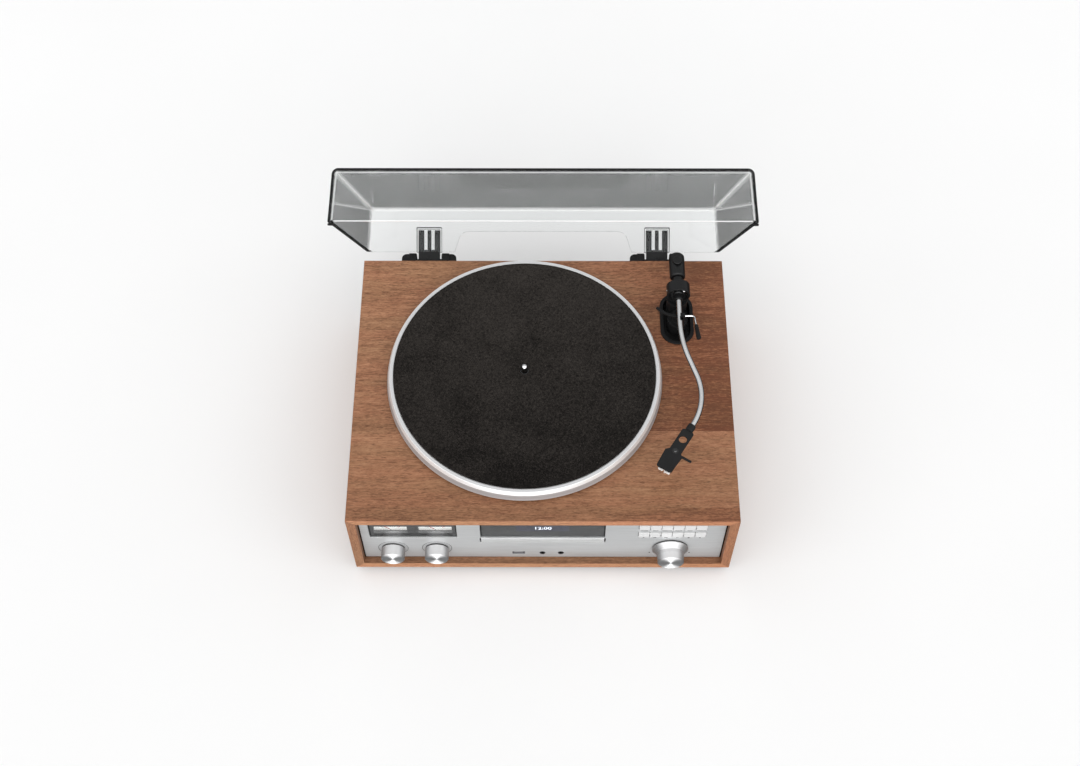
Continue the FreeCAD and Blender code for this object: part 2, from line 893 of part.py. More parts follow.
def make_knobs():
    """Tone knobs and the flared volume knob, each with its shaft."""
    base_y = fascia_y - knob_gap
    shaft_length = knob_gap + fascia_thickness + pot_depth - shaft_end_gap

    def knob(profile, x, z):
        shaft = rod(knob_shaft_radius, at(x, base_y, z), Y, shaft_length)
        return joined(turned(profile, at(x, base_y, z), Y * -1), shaft)

    tone = [(0, 0), (tone_knob_radius, 0)] + knob_crown(tone_knob_radius, tone_knob_height - knob_gap)
    for name, (x, z) in zip(("tone_knob_left", "tone_knob_right"), tone_knob_places()):
        save(name, knob(tone, x, z))
    skirt = volume_skirt_radius
    volume = [(0, 0), (skirt, 0), (skirt, volume_skirt_edge),
              (volume_knob_radius + volume_knob_flare, volume_skirt_height)]
    volume += knob_crown(volume_knob_radius, volume_knob_height - knob_gap)
    save("volume_knob", knob(volume, *volume_knob_place()))


def control_board(x0, x1, z0, z1):
    return block(x0, x1, control_board_y, control_board_y + circuit_board, z0, z1)


def make_electronics():
    """Control boards with their potentiometers, the main board and the transformer."""
    solids = []
    pot_hole = knob_shaft_radius + shaft_clearance
    for x, z in tone_knob_places() + [volume_knob_place()]:
        body = rod(pot_radius, at(x, fascia_back_y, z), Y, pot_depth)
        solids.append(body.cut(rod(pot_hole, at(x, fascia_back_y, z), Y, pot_depth - shaft_end_gap / 2)))
    (tone_x0, tone_z), (tone_x1, tone_z) = tone_knob_places()
    solids.append(control_board(tone_x0 - control_board_margin, tone_x1 + control_board_margin,
                                tone_z - control_board_margin, tone_z + control_board_margin))
    button_x0, button_x1 = button_span()
    board_top = button_row_heights()[0] + button_height + button_board_margin
    solids.append(control_board(button_x0 - button_board_margin, button_x1 + button_board_margin,
                                volume_knob_place()[1] - control_board_margin, board_top))

    x0 = left_inner + main_board_margin
    x1 = x0 + main_board_width
    y1 = rear_panel_y - main_board_margin
    y0 = y1 - main_board_depth
    board_z = floor_z + board_standoff
    deck = board_z + circuit_board
    solids.append(block(x0, x1, y0, y1, board_z, deck))
    for x in (x0 + standoff_inset, x1 - standoff_inset):
        for y in (y0 + standoff_inset, y1 - standoff_inset):
            solids.append(rod(standoff_radius, at(x, y, floor_z), Z, board_standoff))
    for count in range(capacitor_count):
        place = at(x0 + capacitor_inset + count * capacitor_pitch, y0 + capacitor_inset, deck)
        solids.append(rod(capacitor_radius, place, Z, capacitor_height))
    fin_pitch = fin_thickness + fin_gap
    sink_x = x0 + heat_sink_inset
    sink_y = y0 + heat_sink_back
    sink_end = sink_x + fin_count * fin_pitch - fin_gap
    web = block(sink_x, sink_end, sink_y, sink_y + heat_sink_web, deck, deck + heat_sink_height)
    fins = []
    for count in range(fin_count):
        fin_x = sink_x + count * fin_pitch
        fins.append(block(fin_x, fin_x + fin_thickness, sink_y, sink_y + heat_sink_web + fin_length,
                          deck, deck + heat_sink_height))
    solids.append(joined(web, *fins))
    save("circuit_boards", *solids)

    x1 = right_inner - transformer_from_right
    x0 = x1 - transformer_width
    y1 = rear_panel_y - transformer_from_rear
    y0 = y1 - transformer_depth
    core = block(x0, x1, y0, y1, floor_z, floor_z + transformer_height)
    winding = block(x0 + winding_inset, x1 - winding_inset, y0 - winding_bulge, y1 + winding_bulge,
                    floor_z + winding_margin, floor_z + transformer_height - winding_margin)
    save("power_transformer", joined(core, winding))


def make_platter():
    """Platter, mat, spindle, inner platter and bearing, all round the spindle's axis."""
    middle = at(spindle_x, spindle_y, top_z)
    hole = spindle_seat_radius + bearing_clearance
    deck = platter_rim_up - mat_recess
    below = deck - platter_top
    rim = platter_rim_up
    skirt = platter_radius + platter_flare
    seat = platter_radius - platter_rim_width
    profile = [(hole, below), (platter_radius - platter_wall, below), (skirt - platter_wall, platter_clear),
               (skirt, platter_clear), (platter_radius + platter_bevel, rim - platter_bevel_down),
               (platter_radius, rim), (seat, rim), (seat, deck), (hole, deck)]
    save("platter", turned(profile, middle, Z))
    save("felt_mat", sleeve(mat_radius, hole + mat_gap, middle + Z * deck, Z, mat_thickness))

    mat_top = deck + mat_thickness
    tip = mat_top + spindle_above_mat
    bottom = bearing_floor + spindle_end_play - bearing_length
    shaft = spindle_seat_radius
    pin = spindle_radius
    save("spindle", turned([(0, bottom), (shaft, bottom), (shaft, mat_top), (pin, mat_top),
                            (pin, tip - spindle_taper), (pin - spindle_nose, tip - spindle_nose / 4),
                            (0, tip)], middle, Z))

    low = inner_platter_clear
    web = below - inner_platter_web
    ring = inner_platter_radius - inner_platter_wall
    inner = [(hole, low), (inner_hub_radius, low), (inner_hub_radius, web), (ring, web), (ring, low),
             (inner_platter_radius, low), (inner_platter_radius, below), (hole, below)]
    save("sub_platter", turned(inner, middle, Z))

    bearing = [(0, -bearing_length), (bearing_radius, -bearing_length), (bearing_radius, 0),
               (bearing_flange_radius, 0), (bearing_flange_radius, bearing_flange), (hole, bearing_flange),
               (hole, bearing_floor - bearing_length), (0, bearing_floor - bearing_length)]
    save("bearing_housing", turned(bearing, middle, Z))


def belt_slab(grow, motor_x, motor_y, z):
    """Slab inside a belt line that stands off both pulleys by the same amount."""
    big = inner_platter_radius + grow
    small = pulley_radius + grow
    away = at(motor_x - spindle_x, motor_y - spindle_y, 0)
    lean = math.acos((big - small) / away.Length)
    corners = []
    for side in (1, -1):
        turn = math.atan2(away.y, away.x) + side * lean
        pair = [(spindle_x + big * math.cos(turn), spindle_y + big * math.sin(turn)),
                (motor_x + small * math.cos(turn), motor_y + small * math.sin(turn))]
        corners += pair if side > 0 else pair[::-1]
    web = plate(corners, z, z + belt_width)
    return joined(web, rod(big, at(spindle_x, spindle_y, z), Z, belt_width),
                  rod(small, at(motor_x, motor_y, z), Z, belt_width))


def make_belt_drive():
    """Motor under the top board, its pulley and the belt round the inner platter."""
    motor_x, motor_y = motor_place()
    motor_z = ceiling_z - motor_length
    shaft_z = ceiling_z - motor_shaft_depth
    shaft_top = top_z + platter_rim_up - mat_recess - platter_top - motor_shaft_top_gap
    shaft = rod(motor_shaft_radius, at(motor_x, motor_y, shaft_z), Z, shaft_top - shaft_z)
    wheel_z = top_z + inner_platter_clear + pulley_clear
    rim = pulley_radius + pulley_flange
    step = pulley_flange_thickness
    wheel = turned([(0, 0), (rim, 0), (rim, step), (pulley_radius, step), (pulley_radius, pulley_height),
                    (0, pulley_height)], at(motor_x, motor_y, wheel_z), Z)
    save("motor_pulley", joined(shaft, wheel))
    motor = rod(motor_radius, at(motor_x, motor_y, motor_z), Z, motor_length)
    well_z = shaft_z - spindle_end_play
    well = rod(motor_shaft_radius + bearing_clearance, at(motor_x, motor_y, well_z), Z, motor_length)
    save("platter_motor", motor.cut(well))
    belt_z = wheel_z + belt_up
    loop = belt_slab(belt_gap + belt_thickness, motor_x, motor_y, belt_z)
    save("drive_belt", loop.cut(belt_slab(belt_gap, motor_x, motor_y, belt_z)))


def arm_point(dx, dy, up):
    """Point given from the arm's pivot in plan and from the top board in height."""
    return at(pivot_x + dx, pivot_y + dy, top_z + up)


def make_arm_base():
    """Obround tub in the top board, and the pillar with the cue housing."""
    tub_radius = base_rim_radius - base_rim_width
    rim = obround(base_rim_radius, base_straight, pivot_x, pivot_y, top_z, top_z + base_rim_height)
    tub = obround(tub_radius, base_straight, pivot_x, pivot_y, top_z - base_depth, top_z)
    hollow = obround(tub_radius - base_wall, base_straight, pivot_x, pivot_y, base_floor_z,
                     top_z + base_rim_height + over)
    save("arm_base", joined(rim, tub).cut(hollow))

    def post(radius, forward, up):
        return rod(radius, arm_point(0, -forward, base_floor_up), Z, up - base_floor_up)

    bridge = block(pivot_x - pillar_bridge / 2, pivot_x + pillar_bridge / 2, pivot_y - cue_forward, pivot_y,
                   base_floor_z, top_z + cue_housing_up)
    lever_hole_x = -lever_root - lever_root_gap
    bores = [
        rod(yaw_shaft_radius + bearing_clearance, arm_point(0, 0, yaw_bore_foot), Z, pillar_up),
        rod(plunger_radius + bearing_clearance, arm_point(0, -cue_forward, lever_up), Z, cue_neck_up),
        rod(lever_radius + bearing_clearance, arm_point(lever_hole_x, -cue_forward, lever_up), X,
            cue_neck_radius - lever_hole_x + over),
    ]
    column = joined(post(pillar_radius, 0, pillar_up), post(cue_housing_radius, cue_forward, cue_housing_up),
                    post(cue_neck_radius, cue_forward, cue_neck_up), bridge)
    save("arm_pillar", column.cut(bores))


def make_arm_rest():
    """Clip that holds the arm from the right, on a post in the tub."""
    post = rod(rest_post_radius, arm_point(rest_post_from_arm, -rest_back - rest_length / 2, base_floor_up),
               Z, arm_up - rest_post_below_arm - base_floor_up)
    y0 = pivot_y - rest_back - rest_length
    y1 = pivot_y - rest_back
    side_x = pivot_x + tube_radius + rest_side_gap
    outer_x = pivot_x + rest_post_from_arm + rest_post_radius
    lip_top = arm_z - tube_radius - rest_lip_gap
    lip_z = lip_top - rest_lip_thickness
    hook_z = arm_z + tube_radius + rest_hook_up
    hook_top = hook_z + rest_hook_thickness
    cheek = block(side_x, outer_x, y0, y1, lip_z, hook_top)
    lip = block(pivot_x - tube_radius + rest_lip_short, side_x, y0, y1, lip_z, lip_top)
    hook = block(pivot_x + tube_radius - rest_hook_reach, side_x, y0, y1, hook_z, hook_top)
    save("arm_rest", joined(post, cheek, lip, hook))


def make_gimbal():
    """Ring that swings on the pillar and carries the arm block on two pivot screws."""
    start = arm_point(0, -gimbal_length / 2, arm_up)
    drum = rod(gimbal_radius, start, Y, gimbal_length)
    foot = rod(gimbal_foot_radius, arm_point(0, 0, pillar_up + yaw_gap), Z, gimbal_foot_height)
    shaft = rod(yaw_shaft_radius, arm_point(0, 0, yaw_shaft_foot), Z, yaw_shaft_top - yaw_shaft_foot)
    hollow = rod(gimbal_radius - gimbal_wall, start - Y * over, Y, gimbal_length + 2 * over)
    pin_hole = rod(pivot_pin_radius + fit_clearance, arm_point(-gimbal_radius - over, 0, arm_up), X,
                   2 * (gimbal_radius + over))
    ring = joined(drum, foot, shaft).cut([hollow, pin_hole])
    pin_start = gimbal_radius - pivot_pin_sink
    pin_length = pin_start - arm_block_radius + pivot_pin_bite
    pins = [rod(pivot_pin_radius, arm_point(side * pin_start, 0, arm_up), X * -side, pin_length)
            for side in (-1, 1)]
    save("gimbal_ring", ring, *pins)


def make_arm_block():
    """Block between the pivots, with the nose that holds the tube and the stub for the weight."""
    shoulder = -gimbal_length / 2 + arm_block_step
    edge = arm_block_edge
    profile = [(0, -nose_length), (nose_radius - edge, -nose_length), (nose_radius, edge - nose_length),
               (nose_radius, shoulder), (arm_block_radius, shoulder + arm_block_step),
               (arm_block_radius, neck_length - edge), (arm_block_radius - edge, neck_length),
               (stub_radius, neck_length), (stub_radius, stub_length), (0, stub_length)]
    solid = turned(profile, arm_point(0, 0, arm_up), Y)
    sockets = [rod(tube_radius + fit_clearance, arm_point(0, -nose_length, arm_up), Y,
                   tube_seat + fit_clearance)]
    for side in (-1, 1):
        sockets.append(rod(pivot_pin_radius + pivot_clearance, arm_point(side * arm_block_radius, 0, arm_up),
                           X * -side, pivot_socket_depth))
    save("arm_block", solid.cut(sockets))


def make_counterweight():
    """Sliding weight with an index notch and a round locking screw on top."""
    start = neck_length + weight_gap
    r = weight_radius
    bore = stub_radius + weight_bore_gap
    profile = [(bore, 0), (r - weight_edge, 0), (r, weight_edge), (r, weight_length), (bore, weight_length)]
    body = turned(profile, arm_point(0, start, arm_up), Y)
    end_y = pivot_y + start + weight_length
    rim = [edge for edge in body.Edges
           if edge.BoundBox.YMin > end_y - over and edge.BoundBox.XLength > 2 * r - over]
    body = body.makeFillet(weight_round, rim)
    screw_y = start + weight_length - weight_screw_from_end
    top_up = arm_up + weight_radius
    head_at = arm_point(0, screw_y, top_up - weight_screw_sink)
    seat = rod(weight_screw_radius + weight_screw_gap, head_at, Z, 2 * weight_screw_sink)
    wide_y = pivot_y + screw_y - weight_screw_radius / 2
    point_y = pivot_y + screw_y - weight_screw_radius - weight_notch
    notch = plate([(pivot_x - weight_notch, wide_y), (pivot_x, point_y), (pivot_x + weight_notch, wide_y)],
                  top_z + top_up - weight_notch_depth, top_z + top_up + over)
    s = weight_screw_radius
    head_top = weight_screw_sink + weight_screw_up
    head = turned([(0, 0), (s, 0), (s, head_top - weight_screw_edge), (s - weight_screw_edge, head_top),
                   (0, head_top)], head_at, Z)
    save("counterweight", body.cut([seat, notch]), head)


def heading(angle):
    """Level direction that is turned clockwise, seen from above, from straight ahead."""
    turn = math.radians(angle)
    return at(-math.sin(turn), -math.cos(turn), 0)


def arm_route():
    """Corners of the tube's centre line, from the nose of the arm block to the headshell collar."""
    start = arm_point(0, tube_seat - nose_length, arm_up)
    bend_1 = arm_point(first_bend[0], first_bend[1], arm_up)
    bend_2 = arm_point(second_bend[0], second_bend[1], arm_up)
    end = bend_2 + heading(head_angle) * last_run
    return start, bend_1, bend_2, end


def rounded_path(corners, radii):
    """Straight runs joined by tangent arcs of the given radii."""
    edges = []
    here = corners[0]
    for before, corner, after, radius in zip(corners, corners[1:], corners[2:], radii):
        way_in = (corner - before).normalize()
        way_out = (after - corner).normalize()
        half_turn = way_in.getAngle(way_out) / 2
        trim = radius * math.tan(half_turn)
        arc_start = corner - way_in * trim
        arc_end = corner + way_out * trim
        inside = (way_out - way_in).normalize()
        arc_middle = corner + inside * (radius / math.cos(half_turn) - radius)
        edges.append(Part.LineSegment(here, arc_start).toShape())
        edges.append(Part.Arc(arc_start, arc_middle, arc_end).toShape())
        here = arc_end
    edges.append(Part.LineSegment(here, corners[-1]).toShape())
    return Part.Wire(edges)


def swept(path, radius, start, along):
    ring = Part.Wire([Part.makeCircle(radius, start, along)])
    return path.makePipeShell([ring], True, False)


def make_arm_tube():
    corners = arm_route()
    path = rounded_path(corners, (first_bend_radius, second_bend_radius))
    outside = swept(path, tube_radius, corners[0], Y * -1)
    inside = swept(path, tube_bore, corners[0], Y * -1)
    save("arm_tube", outside.cut(inside))


def placed_at_head(shape):
    """Move a piece drawn along +X from the tube's end to its place on the arm."""
    place = FreeCAD.Placement(arm_route()[-1], FreeCAD.Rotation(X, heading(head_angle)))
    shape.Placement = place.multiply(shape.Placement)
    return shape


def make_headshell():
    """Locking collar, and a flat headshell with its round hole and finger lift."""
    r = collar_radius
    collar = turned([(0, 0), (r - collar_edge, 0), (r, collar_edge), (r, collar_length - collar_edge),
                     (r - collar_edge, collar_length), (0, collar_length)], at(0, 0, 0), X)
    half = shell_thickness / 2
    start = collar_length
    end = start + shell_length
    neck = shell_neck_width / 2
    wide = shell_width / 2
    tip = shell_tip_width / 2
    shoulder = start + shell_neck_length
    side = [(start, neck - shell_corner), (start + shell_corner, neck), (shoulder, neck),
            (shoulder + shell_shoulder, wide), (end - shell_corner, tip), (end, tip - shell_corner)]
    body = plate([(u, -v) for u, v in side] + side[::-1], -half, half)
    lift_u = shoulder + finger_lift_at
    lift_end = finger_lift_reach - finger_lift_width / 2
    lift_top = finger_lift_thickness - half
    bar = block(lift_u, lift_u + finger_lift_width, 0, lift_end, -half, lift_top)
    bar_end = rod(finger_lift_width / 2, at(lift_u + finger_lift_width / 2, lift_end, -half), Z,
                  finger_lift_thickness)
    hole = rod(shell_hole_radius, at(start + shell_hole_at, 0, -half - over), Z, shell_thickness + 2 * over)
    save("headshell", placed_at_head(joined(body, bar, bar_end).cut(hole)), placed_at_head(collar))


def make_cartridge():
    """Cartridge under the headshell, with the stylus holder on its front."""
    top = -shell_thickness / 2
    bottom = top - cartridge_height
    half = cartridge_width / 2
    front_u = collar_length + cartridge_front
    body = block(collar_length + cartridge_back, front_u, -half, half, bottom, top)
    under = edges_along(body, Y, lambda c: c.z < bottom + cartridge_chamfer)
    save("cartridge", placed_at_head(body.makeChamfer(cartridge_chamfer, under)))

    half = stylus_holder_width / 2
    low = bottom - stylus_holder_drop
    holder = block(front_u, front_u + stylus_holder_length, -half, half, low, low + stylus_holder_height)
    nose = edges_along(holder, Y, lambda c: c.x > front_u and c.z > low)
    holder = holder.makeChamfer(stylus_holder_chamfer, nose)
    reach = stylus_drop - cartridge_height
    needle = turned([(0, 0), (stylus_tip_radius, stylus_tip), (stylus_radius, stylus_point),
                     (stylus_radius, reach), (0, reach)],
                    at(front_u + stylus_holder_length / 2, 0, top - stylus_drop), Z)
    save("stylus", placed_at_head(joined(holder, needle)))


def make_cue_lever():
    """Bent cue lever and the grip on its end."""
    splay = math.radians(lever_splay)
    forward = at(math.sin(splay), -math.cos(splay), 0)
    start = arm_point(-lever_root, -cue_forward, lever_up)
    corner = arm_point(lever_reach, -cue_forward, lever_up)
    end = corner + forward * lever_length
    path = rounded_path((start, corner, end), (lever_bend,))
    save("cue_lever", swept(path, lever_radius, start, X))
    bore = lever_radius + fit_clearance
    floor = grip_length - grip_end + fit_clearance
    grip = [(bore, 0), (grip_neck_radius, 0), (grip_radius, grip_length - grip_round),
            (grip_radius - grip_round, grip_length), (0, grip_length), (0, floor), (bore, floor)]
    save("lever_grip", turned(grip, end - forward * (grip_length - grip_end), forward))


def make_lift_bar():
    """Curved bar that lifts the arm, on a plunger in the cue housing."""
    bar_up = arm_up - tube_radius - lift_gap - lift_thickness
    bar_top = bar_up + lift_thickness
    ring = sleeve(lift_radius + lift_width / 2, lift_radius - lift_width / 2, arm_point(0, 0, bar_up), Z,
                  lift_thickness)
    fan = [at(0, 0, 0)]
    for angle in (-lift_overrun, lift_sweep / 2, lift_sweep):
        fan.append(heading(angle) * 2 * lift_radius)
    wedge = plate([(pivot_x + point.x, pivot_y + point.y) for point in fan], top_z + bar_up - over,
                  top_z + bar_top + over)
    tab = block(pivot_x - lift_tab_width / 2, pivot_x + lift_tab_width / 2, pivot_y - lift_radius,
                pivot_y - cue_forward, top_z + bar_up, top_z + bar_top)
    foot = lever_up + lever_radius + plunger_gap
    plunger = rod(plunger_radius, arm_point(0, -cue_forward, foot), Z, bar_top - foot)
    save("lift_bar", joined(ring.common(wedge), tab, plunger))


def cover_form(shrink):
    """Cover block with drafted walls and rounded edges, shrunk on its walls and top."""
    half = cover_half_width - shrink
    y0 = cover_front_y + shrink
    y1 = cover_rear_y - shrink

    def loop(inset, z):
        corners = [at(-half + inset, y0 + inset, z), at(half - inset, y0 + inset, z),
                   at(half - inset, y1 - inset, z), at(-half + inset, y1 - inset, z)]
        return Part.makePolygon(corners + [corners[0]])

    solid = Part.makeLoft([loop(0, rim_z), loop(cover_draft, rim_z + cover_height - shrink)], True, True)
    upper = [edge for edge in solid.Edges if edge.BoundBox.ZMax > rim_z + over]
    return solid.makeFillet(cover_edge_radius - shrink, upper)


def opened(shape):
    """Swing a piece drawn closed to the open position."""
    shape.rotate(at(0, hinge_y, hinge_z), X, -cover_angle)
    return shape


def cover_notch():
    """Round-cornered cut at the rim of the cover's rear wall."""
    half = notch_width / 2
    half_top = notch_top_width / 2
    top = rim_z + notch_height
    start = cover_rear_y - cover_draft - cover_wall - over
    face = outline_face([at(-half, start, rim_z - over), at(half, start, rim_z - over),
                         at(half_top, start, top), at(-half_top, start, top)])
    solid = face.extrude(at(0, cover_rear_y + over - start, 0))
    corners = edges_along(solid, Y, lambda c: c.z > rim_z)
    return solid.makeFillet(notch_radius, corners)


def make_cover():
    """Dust cover with moulded hinge sockets, and its bumpers."""
    inside = cover_form(cover_wall)
    shell = cover_form(0).cut([inside, cover_notch()])
    half = tongue_width / 2 + socket_clear
    y0 = rear + tongue_clear - socket_clear
    y1 = rear + tongue_clear + tongue_thickness + socket_clear
    socket_top = rim_z + socket_height_up
    sockets = []
    hollows = []
    for middle in hinge_middles:
        socket = block(middle - half - socket_side, middle + half + socket_side, cover_rear_y - cover_wall,
                       y1 + socket_side, rim_z, socket_top)
        sockets.append(socket.cut(inside))
        hollows.append(block(middle - half, middle + half, y0, y1, rim_z - over, socket_top - socket_side))
    save("dust_cover", opened(joined(shell, *sockets).cut(hollows)))

    bumpers = []
    wall_x = cover_half_width - cover_wall / 2
    y = cover_front_y + bumper_from_front
    for x in (-wall_x, wall_x):
        bumper = rod(bumper_radius, at(x, y, top_z + bumper_clear), Z, cover_gap - bumper_clear)
        bumpers.append(opened(bumper))
    save("cover_bumpers", *bumpers)


def make_hinges():
    """Two tongues that turn with the cover, each on a pin in a bracket on the back."""
    tongue_y = rear + tongue_clear
    tongue_back = tongue_y + tongue_thickness
    screw_holes = [screw_hole(place, Y * -1, bracket_screw_radius, bracket_depth)
                   for place in bracket_screw_places()]
    tongues = []
    brackets = []
    for middle in hinge_middles:
        x0 = middle - knuckle_width / 2
        knuckle = rod(knuckle_radius, at(x0, hinge_y, hinge_z), X, knuckle_width)
        blade = block(middle - tongue_width / 2, middle + tongue_width / 2, tongue_y, tongue_back, hinge_z,
                      rim_z + tongue_height)
        cuts = [rod(hinge_pin_radius + hinge_clearance, at(x0, hinge_y, hinge_z), X, knuckle_width)]
        for offset in row(finger_count - 1, tongue_width / finger_count):
            x = middle + offset
            cuts.append(block(x - finger_slot / 2, x + finger_slot / 2, tongue_y - over, tongue_back + over,
                              rim_z + finger_root, rim_z + tongue_height + over))
        screw_at = at(middle, tongue_y + hinge_screw_sink, hinge_z + hinge_screw_up)
        cuts.append(rod(hinge_screw_radius + fit_clearance, screw_at - Y * over, Y, hinge_screw_head + over))
        tongues.append(opened(joined(knuckle, blade).cut(cuts)))
        tongues.append(opened(rod(hinge_screw_radius, screw_at, Y, hinge_screw_head)))

        body = block(middle - bracket_width / 2, middle + bracket_width / 2, rear, rear + bracket_depth,
                     top_z - bracket_height, top_z)
        corners = edges_along(body, Z, lambda c: c.y > rear + over)
        body = body.makeFillet(bracket_round, corners)
        gap = knuckle_width / 2 + bracket_gap
        step = gap + bracket_step_gap
        for x0 in (middle - step - bracket_step_width, middle + step):
            body = joined(body, block(x0, x0 + bracket_step_width, rear, rear + bracket_depth,
                                      top_z - over, top_z + bracket_step_height))
        slot = block(middle - gap, middle + gap, rear - over, rear + bracket_depth + over,
                     hinge_z - knuckle_radius - bracket_gap, top_z + over)
        pin_reach = knuckle_width / 2 + hinge_pin_bite
        pin_start = at(middle - pin_reach, hinge_y, hinge_z)
        pin_hole = rod(hinge_pin_radius + fit_clearance, pin_start, X, 2 * pin_reach)
        brackets.append(body.cut([slot, pin_hole] + screw_holes))
        brackets.append(rod(hinge_pin_radius, pin_start, X, 2 * pin_reach))
    save("hinge_tongues", *tongues)
    save("hinge_brackets", *brackets)


os.makedirs("parts", exist_ok=True)
make_cabinet()
make_rear_panel()
make_fascia()
make_meters()
make_display()
make_disc_drive()
make_front_sockets()
make_buttons()
make_knobs()
make_electronics()
make_platter()
make_belt_drive()
make_arm_base()
make_arm_rest()
make_gimbal()
make_arm_block()
make_counterweight()
make_arm_tube()
make_headshell()
make_cartridge()
make_cue_lever()
make_lift_bar()
make_cover()
make_hinges()
print(len(made), "pieces:", ", ".join(made))
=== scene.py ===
"""Looks of a record player with a receiver and a disc drive: finishes and detailed meshes, in metres."""
import json
import logging
import math
from dataclasses import dataclass, field
from enum import Enum
from typing import Callable, ClassVar, Iterable, Sequence

import bmesh
import bpy
from mathutils import Matrix, Quaternion, Vector, noise

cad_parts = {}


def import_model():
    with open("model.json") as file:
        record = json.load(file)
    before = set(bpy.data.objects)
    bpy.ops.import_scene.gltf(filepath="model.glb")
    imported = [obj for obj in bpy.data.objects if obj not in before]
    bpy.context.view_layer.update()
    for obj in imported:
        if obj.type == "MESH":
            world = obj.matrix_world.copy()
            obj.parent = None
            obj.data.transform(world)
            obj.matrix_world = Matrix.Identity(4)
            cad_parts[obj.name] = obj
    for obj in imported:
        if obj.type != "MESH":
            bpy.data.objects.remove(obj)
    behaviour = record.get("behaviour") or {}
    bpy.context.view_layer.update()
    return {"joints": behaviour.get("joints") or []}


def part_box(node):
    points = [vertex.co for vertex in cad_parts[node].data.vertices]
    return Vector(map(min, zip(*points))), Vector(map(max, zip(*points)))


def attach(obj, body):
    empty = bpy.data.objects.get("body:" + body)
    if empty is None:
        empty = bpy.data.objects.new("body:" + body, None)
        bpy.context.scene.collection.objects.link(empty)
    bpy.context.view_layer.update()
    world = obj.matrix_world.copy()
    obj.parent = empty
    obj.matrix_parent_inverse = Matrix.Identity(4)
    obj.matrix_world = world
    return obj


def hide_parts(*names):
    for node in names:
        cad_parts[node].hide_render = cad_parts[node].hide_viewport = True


LOG = logging.getLogger("record_player")
WELD = 1e-6
FLAT_ANGLE = math.radians(0.6)
CORNER_ANGLE = math.radians(28)
SHARP_ANGLE = math.radians(40)
INK_THICKNESS = 0.00006

Triple = tuple[float, float, float]
Colour = Triple
Point = tuple[float, float]
Socket = bpy.types.NodeSocket
NO_TINT: Colour = (1.0, 1.0, 1.0)


# Named options
class Grain(Enum):
    """Axis that a finish runs along or round."""

    X = 0
    Y = 1
    Z = 2


class Mark(Enum):
    """Plain signs printed under the lower row of buttons."""

    PLAY = "play"
    BACK = "back"
    NEXT = "next"
    PAUSE = "pause"
    STOP = "stop"
    EJECT = "eject"


class CoverPart(Enum):
    """Parts of the clear cover, each with a finish of its own."""

    CLEAR = 0
    # EDGE takes painted shade; GLEAM and LINE take painted highlight.
    EDGE = 1
    GLEAM = 2
    LINE = 3


# Node layouts
@dataclass(frozen=True)
class Cloud:
    """Noise with a number of features per metre, drawn out along a grain, and its share in a figure."""

    scale: float
    octaves: float = 2.0
    rough: float = 0.5
    bend: float = 0.0
    stretch: float = 1.0
    share: float = 1.0


